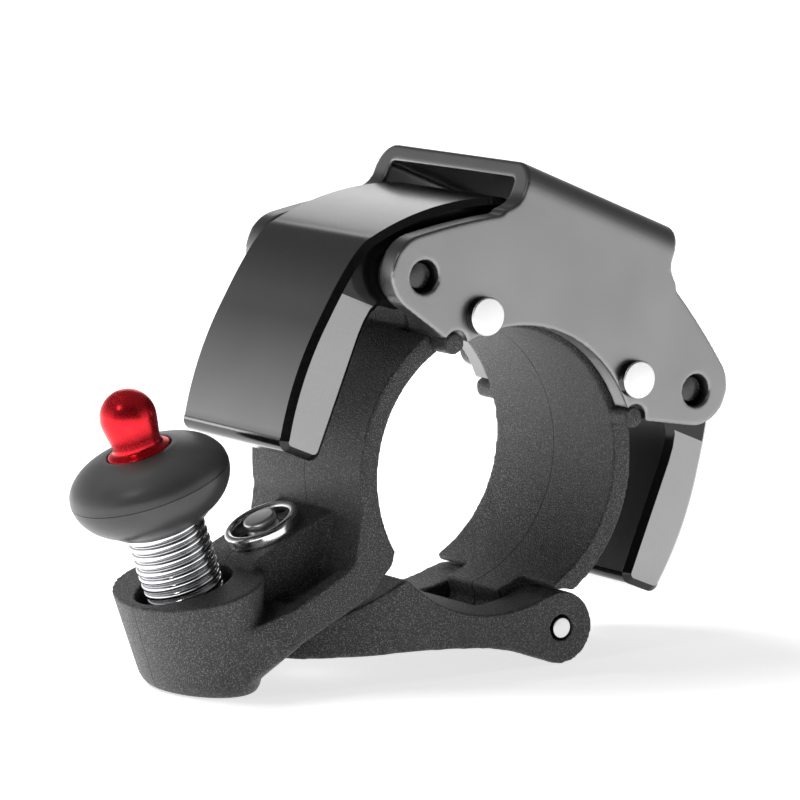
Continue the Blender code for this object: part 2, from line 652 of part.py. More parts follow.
# =========================================================================================
# striker
# =========================================================================================
def striker_spring():
    """Close-coiled wire; its turns are worked out along a helix."""
    around = 14
    turns = (SPRING_HIGH - SPRING_LOW - 2 * WIRE_RADIUS) / COIL_PITCH
    points = int(turns * around) + 1
    sides = 5
    bm = bmesh.new()
    rings = []
    for i in range(points):
        angle = 2 * math.pi * i / around
        height = SPRING_LOW + WIRE_RADIUS + COIL_PITCH * i / around
        ring = []
        for j in range(sides):
            turn = 2 * math.pi * j / sides
            radius = COIL_RADIUS + WIRE_RADIUS * math.cos(turn)
            ring.append(bm.verts.new((radius * math.cos(angle), radius * math.sin(angle),
                                      height + WIRE_RADIUS * math.sin(turn))))
        rings.append(ring)
    bm.faces.new(rings[0])
    bm.faces.new(list(reversed(rings[-1])))
    for first, second in zip(rings, rings[1:]):
        for j in range(sides):
            after = (j + 1) % sides
            bm.faces.new((first[j], second[j], second[after], first[after]))
    spring = on_striker(object_from("striker_spring", bm))
    origin_at(spring, striker_point(SPRING_PIVOT))
    spring.data.materials.append(material("spring_chrome", (0.8, 0.8, 0.8), 0.12, 1.0))


def spring_anchor():
    """Plug inside the spring's foot, held by a screw from under the socket."""
    low = POCKET_FLOOR + 0.05 * MM
    high = -0.4 * MM
    bore_top = high - 0.8 * MM
    profile = [(SCREW_HOLE, low), (3.1 * MM, low), (3.1 * MM, high - 0.4 * MM), (2.7 * MM, high), (0.0, high),
               (0.0, bore_top), (SCREW_HOLE, bore_top)]
    anchor = on_striker(turned("spring_anchor", profile, 24))
    anchor.data.materials.append(material("anchor_steel", (0.5, 0.5, 0.5), 0.3, 1.0))
    head_low = -9.2 * MM
    head_high = -7.65 * MM
    screw_profile = [(0.0, head_low + 0.9 * MM), (1.0 * MM, head_low + 0.9 * MM), (1.0 * MM, head_low),
                     (2.05 * MM, head_low), (2.25 * MM, head_low + 0.2 * MM), (2.25 * MM, head_high),
                     (1.3 * MM, head_high), (1.3 * MM, -1.4 * MM), (0.0, -1.4 * MM)]
    screw = on_striker(turned("anchor_screw", screw_profile, 24))
    screw.data.materials.append(material("screw_steel", (0.5, 0.5, 0.5), 0.3, 1.0))


def finger_disc():
    """Two moulded shells that meet at the seam round the widest part."""
    seam = DISC_SEAM
    lower = scaled([(9.1, -0.1), (9.02, -0.9), (8.65, -1.9), (7.95, -2.9), (7.0, -3.75), (5.9, -4.4),
                    (5.2, -4.9), (5.2, -2.9), (6.7, -2.9), (6.7, -0.1)])
    upper = scaled([(9.15, 0.0), (8.95, 1.0), (8.3, 2.0), (7.2, 2.9), (5.8, 3.55), (4.2, 3.95), (3.75, 3.95),
                    (3.75, 3.2), (1.5, 3.2), (1.5, 0.25), (6.9, 0.25), (6.9, 0.0)])
    for name, profile, colour in (("finger_disc_lower", lower, 0.03), ("finger_disc_upper", upper, 0.04)):
        shell = on_striker(turned(name, [(radius, z + seam) for radius, z in profile], 36))
        origin_at(shell, striker_point(SPRING_PIVOT))
        shell.data.materials.append(material(name + "_plastic", (colour, colour, colour), 0.5, 0.0))


def striker_hub():
    """Steel weight inside the disc, with a spigot in the top of the spring."""
    profile = scaled([(0.0, -4.9), (2.4, -4.9), (2.8, -4.5), (2.8, -2.75), (6.5, -2.75), (6.5, 0.1), (1.4, 0.1),
                      (1.4, -1.5), (0.0, -1.5)])
    hub = on_striker(turned("striker_hub", [(radius, z + DISC_SEAM) for radius, z in profile], 36))
    origin_at(hub, striker_point(SPRING_PIVOT))
    hub.data.materials.append(material("hub_steel", (0.5, 0.5, 0.5), 0.35, 1.0))


def striker_knob():
    """Anodised knob: bulb, neck, flange and the stud that joins it to the hub."""
    centre = 7.85 * MM
    bulb = 3.15 * MM
    profile = scaled([(0.0, -1.3), (1.3, -1.3), (1.3, 3.3), (3.5, 3.3), (3.65, 3.5), (3.6, 3.9), (3.3, 4.15),
                      (2.75, 4.3), (2.5, 4.6), (2.5, 5.2), (2.65, 6.0), (2.9, 6.9)])
    for angle in range(0, 90, 15):
        profile.append((bulb * math.cos(math.radians(angle)), centre + bulb * math.sin(math.radians(angle))))
    profile.append((0.0, centre + bulb))
    knob = on_striker(turned("striker_knob", [(radius, z + DISC_SEAM) for radius, z in profile], 24))
    origin_at(knob, striker_point(SPRING_PIVOT))
    knob.data.materials.append(material("red_anodised", (0.6, 0.01, 0.02), 0.2, 1.0))


def main():
    clear_scene()
    frame = bpy.data.objects.new("bell_frame", None)
    bpy.context.scene.collection.objects.link(frame)
    frame.rotation_euler = (0.0, TILT, 0.0)
    saddle_bracket(frame)
    bell_strip(frame)
    for side, label in ((-1, "left"), (1, "right")):
        strip_mount(frame, side, label)
        clamp_rivet(frame, side, label)
    clamp_jaw()
    clamp_arm()
    hinge_link()
    hinge_pin()
    clamp_nut()
    clamp_bolt()
    striker_spring()
    spring_anchor()
    finger_disc()
    striker_hub()
    striker_knob()


main()
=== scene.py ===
"""Looks of the bicycle bell: grained clamp, satin bracket, gun-metal bar and sprung thumb striker.

Every visible CAD node is replaced by a finer mesh of the same size, built in the CAD frame: origin on the
handlebar's axis, +Y to the rear, +Z up. Bracket, bar and their pins are built in the upright "bell"
frame and turned by TILT. Striker and bolt pieces are turned about z and stood on their own axes.
"""

import math

import bmesh
import bpy
from mathutils import Matrix, Vector


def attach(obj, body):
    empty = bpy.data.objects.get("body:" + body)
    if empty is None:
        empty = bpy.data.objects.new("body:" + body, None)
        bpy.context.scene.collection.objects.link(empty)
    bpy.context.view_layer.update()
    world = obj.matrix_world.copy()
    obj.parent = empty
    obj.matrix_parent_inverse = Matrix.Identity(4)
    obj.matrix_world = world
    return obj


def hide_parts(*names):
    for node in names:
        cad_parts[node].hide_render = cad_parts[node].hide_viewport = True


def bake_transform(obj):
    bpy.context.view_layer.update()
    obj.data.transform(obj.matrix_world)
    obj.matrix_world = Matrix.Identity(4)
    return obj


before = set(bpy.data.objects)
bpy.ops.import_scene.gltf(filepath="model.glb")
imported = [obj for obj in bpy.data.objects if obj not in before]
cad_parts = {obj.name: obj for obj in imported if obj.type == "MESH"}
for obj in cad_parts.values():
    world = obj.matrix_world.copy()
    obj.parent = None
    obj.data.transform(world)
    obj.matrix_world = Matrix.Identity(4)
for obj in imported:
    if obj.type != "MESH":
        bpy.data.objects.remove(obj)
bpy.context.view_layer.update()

MM = 0.001
GAP = 0.3 * MM
FIT = 0.1 * MM

BAR_RADIUS = 15.9 * MM
RING_OUTER = 18.2 * MM
RING_CORE = 14.4 * MM
HALF_WIDTH = 12.0 * MM
ARM_HALF_WIDTH = 11.7 * MM
TILT = math.radians(22.66)

PLATE_Y = 15.5 * MM
SHEET = 2.8 * MM
BRIDGE_TOP = 32.7 * MM
BRIDGE_SHEET = 1.9 * MM
BRIDGE_HALF = 11.1 * MM
PLATE_ARC = 16.4 * MM
FOLD_RADIUS = 3.2 * MM
FOLD_INNER = 0.8 * MM
LOBE = (20.0 * MM, 16.6 * MM, 4.4 * MM)             # x, z and radius of a plate's lower corner
SLOPE_RADIUS = 80.0 * MM            # the plate's long upper edges
SLOPE_START = 55.0                  # degrees
SHOULDER_NOTCH = (14.1 * MM, 29.3 * MM, 3.0 * MM)
PEG = (13.2 * MM, 10.7 * MM, 1.2 * MM)
PEG_NOTCH = 1.5 * MM
PEG_START = 11.85 * MM
PEG_END = 15.2 * MM
STRIP_HOLE_RADIUS = 1.85 * MM
STRIP_PIN = (20.1 * MM, 16.25 * MM)
CLAMP_PIN = (11.2 * MM, 14.76 * MM)

STRIP_HALF = 11.0 * MM
STRIP_TOP = 28.5 * MM
STRIP_THICK = 5.9 * MM
STRIP_ARC = 33.0 * MM
STRIP_ARC_Z = -2.86 * MM
STRIP_END = -6.8 * MM
SHOULDER = (26.57 * MM, 16.7 * MM)
BARREL_RADIUS = 40.0 * MM
BARREL_REACH = 28.45 * MM
BARREL_Z = 2.0 * MM
BARREL_LEAN = 9.3
STRIP_INNER = 22.3 * MM
BOSS_RADIUS = 4.1 * MM
STRIP_CHAMFER = 0.75 * MM
# Height above which the bar's crown sides are painted with shade.
PAINTED_SHADE_TOP = 11.6 * MM
TIP_RADIUS = 1.3 * MM
HEEL_INSET = 1.25 * MM
BAR_SHARP = math.radians(24)
BUSH_OUTER = 2.6 * MM
FLANGE_RADIUS = 3.4 * MM
SLEEVE_START = 5.0 * MM
STRIP_PIN_RADIUS = 1.5 * MM
STRIP_PIN_HALF = 14.3 * MM

PIN_SHANK = 1.5 * MM
PIN_HEAD = 2.17 * MM
PIN_HEAD_HEIGHT = 1.2 * MM
KNUCKLE = 4.2 * MM
KNUCKLE_SPLIT = 6.0 * MM
ARM_TOP = 142.5
ARM_WALL_TOP = 106.0
JAW_TOP = 141.0
JAW_END = -58.0
HINGE = (8.65 * MM, -19.15 * MM)
HINGE_KNUCKLE = 4.15 * MM
HINGE_PIN_RADIUS = 1.17 * MM
LUG_HALF = 5.5 * MM
SADDLE_RADIUS = 16.7 * MM
LINK_END = 13.3 * MM

BOLT_TOP = (-24.17 * MM, -5.27 * MM)
BOLT_LEAN = math.radians(25.6)
BOLT_RADIUS = 1.9 * MM
BOLT_RISE = 0.4 * MM
BOLT_SLOT_ROOM = 0.35 * MM
THREAD_START = -8.0 * MM
THREAD_PITCH = 0.7 * MM
THREAD_DEPTH = 0.22 * MM
THREAD_TURNS = 11
HEX_RADIUS = 1.6 * MM
HEX_DEPTH = 1.5 * MM
NUT_HEIGHT = 1.4 * MM
NUT_OUTER = 4.4 * MM
NUT_INNER = 3.4 * MM
HEAD_TOP = -13.0 * MM
HEAD_HEIGHT = 2.6 * MM
HEAD_RADIUS = 3.3 * MM
WASHER_RADIUS = 3.7 * MM
WASHER_THICK = 0.6 * MM
ARM_OPEN = math.radians(14.0)
LINK_RATIO = 5.0
CORE_HALF = 5.6 * MM
PLATFORM_RIGHT = 7.4 * MM           # the nut platform's reach either side of the bolt
PLATFORM_LEFT = 5.0 * MM
SIDE_WALL = 2.2 * MM
SIDE_POCKET_START = 4.0 * MM
BAND_TOP = (-27.0, -13.6)           # the arm's lower band, in millimetres
UNDERSIDE = [(-14.0, -9.8), (-15.2, -11.0), (-16.7, -13.0), (-27.0, -17.94)]

STRIKER_BASE = (-33.79 * MM, -12.54 * MM)
STRIKER_LEAN = math.radians(19.5)
RIM_PLANE = (-34.54 * MM, -11.59 * MM)              # a point on the socket's sloping rim
RIM_SLOPE = math.radians(16.3)
POCKET_RADIUS = 5.6 * MM
POCKET_FLOOR = -3.4 * MM
CUP_RIM = (-33.6 * MM, 7.1 * MM, 11.5 * MM)         # centre, half length and half width of an oval
CUP_FOOT = (-31.9 * MM, 5.7 * MM, 8.8 * MM)
CUP_BEND = 0.84                     # the depth, as a share, where the foot starts to round in
SCREW_SEAT = 2.5 * MM
SCREW_HOLE = 1.45 * MM
SCREW_LOW = -9.2 * MM
SCREW_HEAD_TOP = -7.65 * MM
SCREW_HEAD_RADIUS = 2.25 * MM
SCREW_SHANK = 1.3 * MM
SCREW_TIP = -1.4 * MM
SEAT_TOP = -7.6 * MM
PLUG_TOP = -0.4 * MM
PLUG_RADIUS = 3.1 * MM
COIL_RADIUS = 4.05 * MM
WIRE_RADIUS = 0.45 * MM
COIL_PITCH = 0.95 * MM
SPRING_LOW = -2.4 * MM
SPRING_HIGH = 9.6 * MM
DISC_SEAM = 13.6 * MM
KNOB_CENTRE = 7.85 * MM
KNOB_BULB = 3.15 * MM
GROUND = -23.3 * MM
FAR = 20.0 * MM                     # half the length of a cutter that goes right through

PLASTIC_VOXEL = 0.24 * MM
SHEET_VOXEL = 0.22 * MM

FLOOR_HALF = 4.0                    # metres
FLOOR_GAP = 0.05 * MM
FLOOR_GLOW = 0.70
FAR_GLOW = 1.05
CEILING = 0.10                      # the surround's brightness overhead
CEILING_HEIGHT = 0.46               # and the height of its direction there
CAMERA_SIDE = (-0.55, -0.83, 0.0)
CAMERA_SIDE_GLOW = 0.08

CAMERA_AZIMUTH = math.radians(33.6175)
CAMERA_RISE = math.radians(8.9086)
CAMERA_DISTANCE = 0.55005
CAMERA_SHIFT = (-0.050, 0.068)


# ---- mesh helpers ----
def arc(centre, radius, start, end, step=2.0):
    """Points on an arc in the x-z plane, from start to end degrees, both included."""
    count = max(2, int(math.ceil(abs(end - start) / step)) + 1)
    points = []
    for i in range(count):
        angle = math.radians(start + (end - start) * i / (count - 1))
        points.append((centre[0] + radius * math.cos(angle), centre[1] + radius * math.sin(angle)))
    return points


def polar(radius, degrees):
    angle = math.radians(degrees)
    return (radius * math.cos(angle), radius * math.sin(angle))


def mirrored(points):
    return [(-x, z) for x, z in reversed(points)]


def scaled(points):
    return [(x * MM, z * MM) for x, z in points]


def to_world(point):
    """The same (x, z) point, from the upright bell frame to the world frame."""
    x, z = point
    return (x * math.cos(TILT) + z * math.sin(TILT), z * math.cos(TILT) - x * math.sin(TILT))


def turned_about(point, centre, angle):
    """The (x, z) point after a turn about +Y through the centre."""
    x = point[0] - centre[0]
    z = point[1] - centre[1]
    return (centre[0] + x * math.cos(angle) + z * math.sin(angle),
            centre[1] + z * math.cos(angle) - x * math.sin(angle))


def object_from(name, bm, angle=35):
    """A scene object from a bmesh, smooth except at edges sharper than the angle."""
    bmesh.ops.recalc_face_normals(bm, faces=bm.faces)
    mesh = bpy.data.meshes.new(name)
    bm.to_mesh(mesh)
    bm.free()
    mesh.shade_smooth()
    mesh.set_sharp_from_angle(angle=math.radians(angle))
    obj = bpy.data.objects.new(name, mesh)
    bpy.context.scene.collection.objects.link(obj)
    return obj


def prism(name, outline, low, high):
    """An x-z outline carried along Y from low to high."""
    bm = bmesh.new()
    rings = []
    for y in (low, high):
        rings.append([bm.verts.new((x, y, z)) for x, z in outline])
    bm.faces.new(rings[0])
    bm.faces.new(list(reversed(rings[1])))
    count = len(outline)
    for i in range(count):
        after = (i + 1) % count
        bm.faces.new((rings[0][i], rings[1][i], rings[1][after], rings[0][after]))
    return object_from(name, bm)


def turned(name, profile, segments=96, angle=35):
    """A closed (radius, z) profile turned about the z axis."""
    bm = bmesh.new()
    rings = []
    for radius, z in profile:
        ring = []
        if radius > 0.0:
            for i in range(segments):
                turn = 2 * math.pi * i / segments
                ring.append(bm.verts.new((radius * math.cos(turn), radius * math.sin(turn), z)))
        rings.append(ring)
    for lower, upper in zip(rings, rings[1:] + rings[:1]):
        if not lower and not upper:
            continue
        if not lower or not upper:
            bm.faces.new(lower or upper)
            continue
        for i in range(segments):
            after = (i + 1) % segments
            bm.faces.new((lower[i], upper[i], upper[after], lower[after]))
    return object_from(name, bm, angle)


def cylinder(name, radius, low, high, segments=64):
    return turned(name, [(0.0, low), (radius, low), (radius, high), (0.0, high)], segments)


def along_y(obj, point):
    """Lay a solid's z axis along +Y, through the (x, z) point."""
    obj.data.transform(Matrix.Translation((point[0], 0, point[1])) @ Matrix.Rotation(-math.pi / 2, 4, "X"))
    return obj


def leaned(obj, base, lean):
    """Lean a solid's z axis towards -X and stand it on the (x, z) base."""
    obj.data.transform(Matrix.Translation((base[0], 0, base[1])) @ Matrix.Rotation(-lean, 4, "Y"))
    return obj


def on_bolt(obj):
    return leaned(obj, BOLT_TOP, BOLT_LEAN)


def on_striker(obj):
    return leaned(obj, STRIKER_BASE, STRIKER_LEAN)


def in_bell(obj):
    """From the upright bell frame to the world frame."""
    obj.data.transform(Matrix.Rotation(TILT, 4, "Y"))
    return obj


def bolt_point(distance):
    return (BOLT_TOP[0] - distance * math.sin(BOLT_LEAN), BOLT_TOP[1] + distance * math.cos(BOLT_LEAN))


def apply_modifiers(obj):
    """Make the modifiers' result the object's own mesh."""
    depsgraph = bpy.context.evaluated_depsgraph_get()
    mesh = bpy.data.meshes.new_from_object(obj.evaluated_get(depsgraph))
    obj.modifiers.clear()
    old = obj.data
    obj.data = mesh
    bpy.data.meshes.remove(old)
    mesh.name = obj.name


def combine(obj, tool, operation):
    modifier = obj.modifiers.new("step", "BOOLEAN")
    modifier.object = tool
    modifier.operation = operation
    apply_modifiers(obj)
    bpy.data.objects.remove(tool, do_unlink=True)


def cut(obj, tool):
    combine(obj, tool, "DIFFERENCE")


def join(obj, tool):
    combine(obj, tool, "UNION")


def hole(name, point, radius):
    return along_y(cylinder(name, radius, -FAR, FAR), point)


def moulded(obj, voxel, smoothing):
    """Round every edge a little, as a mould or a press leaves it."""
    remesh = obj.modifiers.new("remesh", "REMESH")
    remesh.mode = "VOXEL"
    remesh.voxel_size = voxel
    smooth = obj.modifiers.new("smooth", "SMOOTH")
    smooth.iterations = smoothing
    smooth.factor = 0.5
    apply_modifiers(obj)
    obj.data.shade_smooth()


def finish(obj, body, material, slot, *nodes):
    """Give a piece its material, its body and the CAD nodes it stands for."""
    obj.data.materials.clear()
    obj.data.materials.append(material)
    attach(obj, body)
    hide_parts(*nodes)


def paint_pin_walls_shade(obj, material):
    """Paint the walls of a pin along Y with a second material, as painted shade on their dark sides."""
    obj.data.materials.append(material)
    for face in obj.data.polygons:
        if abs(face.normal.y) < 0.30:
            face.material_index = 1


# ---- materials ----
class Shader:
    """A Principled material with short helpers for its procedural inputs."""

    def __init__(self, name, metallic=0.0, specular=0.5):
        self.material = bpy.data.materials.new(name)
        self.material.use_nodes = True
        self.nodes = self.material.node_tree.nodes
        self.links = self.material.node_tree.links
        self.surface = self.nodes["Principled BSDF"]
        self.surface.inputs["Metallic"].default_value = metallic
        self.surface.inputs["Specular IOR Level"].default_value = specular
        self.place = self.nodes.new("ShaderNodeTexCoord").outputs["Object"]
        self.height = None

    def link(self, output, node, socket):
        self.links.new(output, node.inputs[socket])

    def noise(self, scale, detail=2.0, roughness=0.5):
        node = self.nodes.new("ShaderNodeTexNoise")
        node.inputs["Scale"].default_value = scale
        node.inputs["Detail"].default_value = detail
        node.inputs["Roughness"].default_value = roughness
        self.link(self.place, node, "Vector")
        return node.outputs["Fac"]

    def remap(self, value, low, high, out_low, out_high):
        node = self.nodes.new("ShaderNodeMapRange")
        node.inputs["From Min"].default_value = low
        node.inputs["From Max"].default_value = high
        node.inputs["To Min"].default_value = out_low
        node.inputs["To Max"].default_value = out_high
        self.link(value, node, "Value")
        return node.outputs["Result"]

    def math(self, operation, first, second=0.0):
        node = self.nodes.new("ShaderNodeMath")
        node.operation = operation
        for i, value in enumerate((first, second)):
            if isinstance(value, (int, float)):
                node.inputs[i].default_value = value
            else:
                self.link(value, node, i)
        return node.outputs[0]

    def mix(self, factor, first, second):
        node = self.nodes.new("ShaderNodeMix")
        node.data_type = "RGBA"
        sockets = {"Factor": node.inputs[0], "A": node.inputs[6], "B": node.inputs[7]}
        for key, value in (("Factor", factor), ("A", first), ("B", second)):
            if isinstance(value, tuple):
                sockets[key].default_value = (*value, 1.0)
            else:
                self.links.new(value, sockets[key])
        return node.outputs[2]

    def bump(self, value, strength, distance):
        node = self.nodes.new("ShaderNodeBump")
        node.inputs["Strength"].default_value = strength
        node.inputs["Distance"].default_value = distance
        self.link(value, node, "Height")
        if self.height is not None:
            self.link(self.height, node, "Normal")
        self.height = node.outputs["Normal"]
        self.link(self.height, self.surface, "Normal")

    def colour(self, output):
        self.link(output, self.surface, "Base Color")

    def rough(self, value, low, high):
        self.link(self.remap(value, 0.3, 0.7, low, high), self.surface, "Roughness")

    def blotches(self, value, dark, light):
        """Two colours that blend into each other in soft patches."""
        return self.mix(self.remap(value, 0.3, 0.7, 0.0, 1.0), dark, light)

    def axis(self, name):
        node = self.nodes.new("ShaderNodeSeparateXYZ")
        self.link(self.place, node, "Vector")
        return node.outputs[name]

    def edges(self):
        """1 along the sharp outer edges of a dense mesh."""
        node = self.nodes.new("ShaderNodeNewGeometry")
        return self.remap(node.outputs["Pointiness"], 0.505, 0.56, 0.0, 1.0)


def grey(value, tint=0.0):
    return (value, value, value * (1 + tint))


def moulded_plastic(name):
    """Spark-textured black plastic with a mould parting line at y = 0; its light grain specks are partly
    painted glints.
    """
    shader = Shader(name, specular=0.8)
    grain = shader.noise(6400, 2.0, 0.6)
    broad = shader.noise(160, 3.0, 0.55)
    base = shader.mix(shader.remap(broad, 0.35, 0.65, 0.0, 1.0), grey(0.004), grey(0.009))
    # Light specks at the grain's peaks: real grain, made bright as painted glints.
    base = shader.mix(shader.remap(grain, 0.54, 0.62, 0.0, 1.0), base, grey(0.16))
    # Lighter along the sharp outer edges.
    base = shader.mix(shader.math("MULTIPLY", shader.edges(), 0.30), base, grey(0.08))
    off_centre = shader.math("ABSOLUTE", shader.axis("Y"))
    seam = shader.remap(off_centre, 0.08 * MM, 0.15 * MM, 1.0, 0.0)
    shader.colour(shader.mix(seam, base, grey(0.001)))
    shader.rough(grain, 0.50, 0.34)
    shader.bump(grain, 1.0, 0.22 * MM)
    shader.bump(seam, 1.0, -0.30 * MM)
    return shader.material


def satin_metal(name, shade):
    """Gun-metal coating over pressed sheet, finely blasted."""
    shader = Shader(name, metallic=1.0)
    grain = shader.noise(9000, 2.0, 0.5)
    broad = shader.noise(90, 2.0, 0.5)
    base = shader.blotches(broad, grey(shade * 0.93), grey(shade * 1.05, 0.01))
    # Lighter along the sharp outer edges.
    base = shader.mix(shader.math("MULTIPLY", shader.edges(), 0.25), base, grey(shade * 1.7))
    shader.colour(base)
    shader.rough(grain, 0.30, 0.40)
    shader.bump(grain, 0.25, 0.02 * MM)
    return shader.material


def bar_metal(name, shade):
    """Smooth gun-metal plating with a faint ripple and fine polishing grain."""
    shader = Shader(name, metallic=1.0)
    broad = shader.noise(70, 2.0, 0.5)
    fine = shader.noise(6400, 2.0, 0.5)
    shader.colour(shader.blotches(broad, grey(shade * 0.95), grey(shade * 1.04, 0.01)))
    shader.rough(fine, 0.17, 0.26)
    shader.bump(fine, 0.12, 0.01 * MM)
    shader.bump(broad, 0.04, 0.05 * MM)
    return shader.material


def painted_shade_black(name):
    """Painted shade: gloss black that stands in for the dark reflections and shadow on the bar's chamfers, ends
    and crown sides and on the pins' walls.
    """
    shader = Shader(name)
    fine = shader.noise(2400, 2.0, 0.5)
    shader.colour(shader.mix(fine, grey(0.003), grey(0.008)))
    shader.rough(fine, 0.10, 0.18)
    shader.bump(fine, 0.08, 0.01 * MM)
    return shader.material


def plated(name, shade, low, high, tint=0.0):
    """Metal with small changes of polish, from the low roughness to the high."""
    shader = Shader(name, metallic=1.0)
    fine = shader.noise(1800, 3.0, 0.6)
    broad = shader.noise(260, 2.0, 0.5)
    shader.colour(shader.blotches(broad, grey(shade * 0.93, tint), grey(shade, tint)))
    shader.rough(fine, low, high)
    shader.bump(fine, 0.12, 0.01 * MM)
    return shader.material


def rubber(name):
    """Dull black rubber with a fine grain."""
    shader = Shader(name, specular=0.3)
    fine = shader.noise(4200, 2.0, 0.5)
    shader.colour(shader.mix(fine, grey(0.010), grey(0.022)))
    shader.rough(fine, 0.6, 0.8)
    shader.bump(fine, 0.4, 0.03 * MM)
    return shader.material


def disc_plastic(name):
    """Fine-grained black thumb disc."""
    shader = Shader(name, specular=0.6)
    grain = shader.noise(7600, 2.0, 0.5)
    broad = shader.noise(220, 2.0, 0.5)
    shader.colour(shader.blotches(broad, grey(0.040), grey(0.054)))
    shader.rough(grain, 0.28, 0.40)
    shader.bump(grain, 0.25, 0.03 * MM)
    return shader.material


def anodised(name):
    """Red anodised aluminium with soft changes of shade and polish."""
    shader = Shader(name, metallic=0.85, specular=0.8)
    broad = shader.noise(420, 3.0, 0.5)
    fine = shader.noise(5200, 2.0, 0.5)
    shader.colour(shader.blotches(broad, (0.72, 0.010, 0.022), (0.86, 0.020, 0.034)))
    shader.rough(fine, 0.20, 0.32)
    shader.bump(fine, 0.10, 0.01 * MM)
    return shader.material


# ---- saddle bracket ----
def plate_outline():
    """The side plate: over the ring, round the peg and the corner, and up the slope to the bridge."""
    x, z = polar(LOBE[2] - SLOPE_RADIUS, SLOPE_START)
    slope_centre = (LOBE[0] + x, LOBE[1] + z)
    half = arc((0, 0), PLATE_ARC, 90, 43.8)
    half += arc(PEG[:2], PEG_NOTCH, 154, 4, 10)
    half += arc(LOBE[:2], LOBE[2], -77.6, SLOPE_START, 4)
    half += arc(slope_centre, SLOPE_RADIUS, SLOPE_START + 1, SLOPE_START + 8, 1)
    half += arc(SHOULDER_NOTCH[:2], SHOULDER_NOTCH[2], 241, 180, 6)
    half.append((BRIDGE_HALF, BRIDGE_TOP))
    return half + mirrored(half)[:-1]


def channel_profile():
    """The folded sheet's section across the handlebar: two plates and the bridge."""
    ceiling = BRIDGE_TOP - BRIDGE_SHEET
    right = [(PLATE_Y, 0.0)] + arc((PLATE_Y - FOLD_RADIUS, BRIDGE_TOP - FOLD_RADIUS), FOLD_RADIUS, 0, 90, 5)
    inside = arc((PLATE_Y - SHEET - FOLD_INNER, ceiling - FOLD_INNER), FOLD_INNER, 90, 0, 15)
    inside.append((PLATE_Y - SHEET, 0.0))
    left = [(-y, z) for y, z in reversed(right)]
    inside_left = [(-y, z) for y, z in reversed(inside)]
    return right + left + inside_left + inside


def saddle_bracket(material):
    """The plates' outline and the folded section, kept where they meet, then drilled."""
    bracket = prism("bracket_shell", plate_outline(), -PLATE_Y - MM, PLATE_Y + MM)
    folded = prism("channel", channel_profile(), -30 * MM, 30 * MM)
    folded.data.transform(Matrix.Rotation(math.pi / 2, 4, "Z"))
    combine(bracket, folded, "INTERSECT")
    for side in (-1, 1):
        cut(bracket, hole("strip_hole", (side * STRIP_PIN[0], STRIP_PIN[1]), STRIP_HOLE_RADIUS))
        cut(bracket, hole("rivet_hole", (side * CLAMP_PIN[0], CLAMP_PIN[1]), PIN_SHANK + FIT))
    moulded(bracket, SHEET_VOXEL, 4)
    finish(in_bell(bracket), "frame", material, "bracket_paint", "saddle_bracket")


# ---- bell bar and its mounts ----
def strip_outline():
    """Right half of the bar's outline: crown, shoulder, arm, its tip, and back along the inside."""
    crown = (0.0, STRIP_ARC_Z)
    flat_angle = math.degrees(math.asin((STRIP_TOP - STRIP_ARC_Z) / STRIP_ARC))
    shoulder_angle = math.degrees(math.atan2(SHOULDER[1] - STRIP_ARC_Z, SHOULDER[0]))
    barrel = (BARREL_REACH - BARREL_RADIUS, BARREL_Z)
    end_angle = math.degrees(math.asin((STRIP_END - BARREL_Z) / BARREL_RADIUS))
    corner_in = arc(crown, STRIP_ARC, flat_angle, shoulder_angle + 4.5, 1.0)
    barrel_face = arc(barrel, BARREL_RADIUS, BARREL_LEAN, end_angle + 1.9, 1.0)
    shoulder = []
    start = Vector(corner_in[-1])
    end = Vector(barrel_face[0])
    corner = Vector((SHOULDER[0] + 0.2 * MM, SHOULDER[1] + 0.5 * MM))
    for step in range(1, 12):
        t = step / 12
        pull = start * (1 - t) ** 2 + corner * 2 * t * (1 - t) + end * t ** 2
        shoulder.append(tuple(pull))
    tip = arc((STRIP_INNER + TIP_RADIUS, STRIP_END + TIP_RADIUS), TIP_RADIUS, 268, 182, 12)
    heel_x = barrel_face[-1][0] - HEEL_INSET
    heel = arc((heel_x, STRIP_END + TIP_RADIUS), TIP_RADIUS, -8, -88, 12)
    inside = tip + [(STRIP_INNER, 0.0), (STRIP_INNER, 8.0 * MM), (STRIP_INNER - 0.12 * MM, 9.6 * MM),
                    (STRIP_INNER - 0.4 * MM, 10.9 * MM), (21.2 * MM, 12.0 * MM)]
    inside += arc(STRIP_PIN, BOSS_RADIUS, 272, 147, 5)
    inner_arc = STRIP_ARC - STRIP_THICK
    inner_flat = math.degrees(math.asin((STRIP_TOP - STRIP_THICK - STRIP_ARC_Z) / inner_arc))
    inside += arc(crown, inner_arc, 52, inner_flat, 1.5)
    return corner_in + shoulder + barrel_face + heel + inside


def inset(outline, distance):
    """The closed outline moved inwards by the distance, with mitred corners."""
    count = len(outline)
    area = sum(outline[i - 1][0] * outline[i][1] - outline[i][0] * outline[i - 1][1] for i in range(count))
    turn = 1.0 if area > 0.0 else -1.0
    result = []
    for i in range(count):
        here = Vector(outline[i])
        before = (here - Vector(outline[i - 1])).normalized()
        after = (Vector(outline[(i + 1) % count]) - here).normalized()
        first = Vector((-before.y, before.x)) * turn
        second = Vector((-after.y, after.x)) * turn
        mitre = (first + second) / max(1.0 + first.dot(second), 0.5)
        result.append(tuple(here + mitre * distance))
    return result


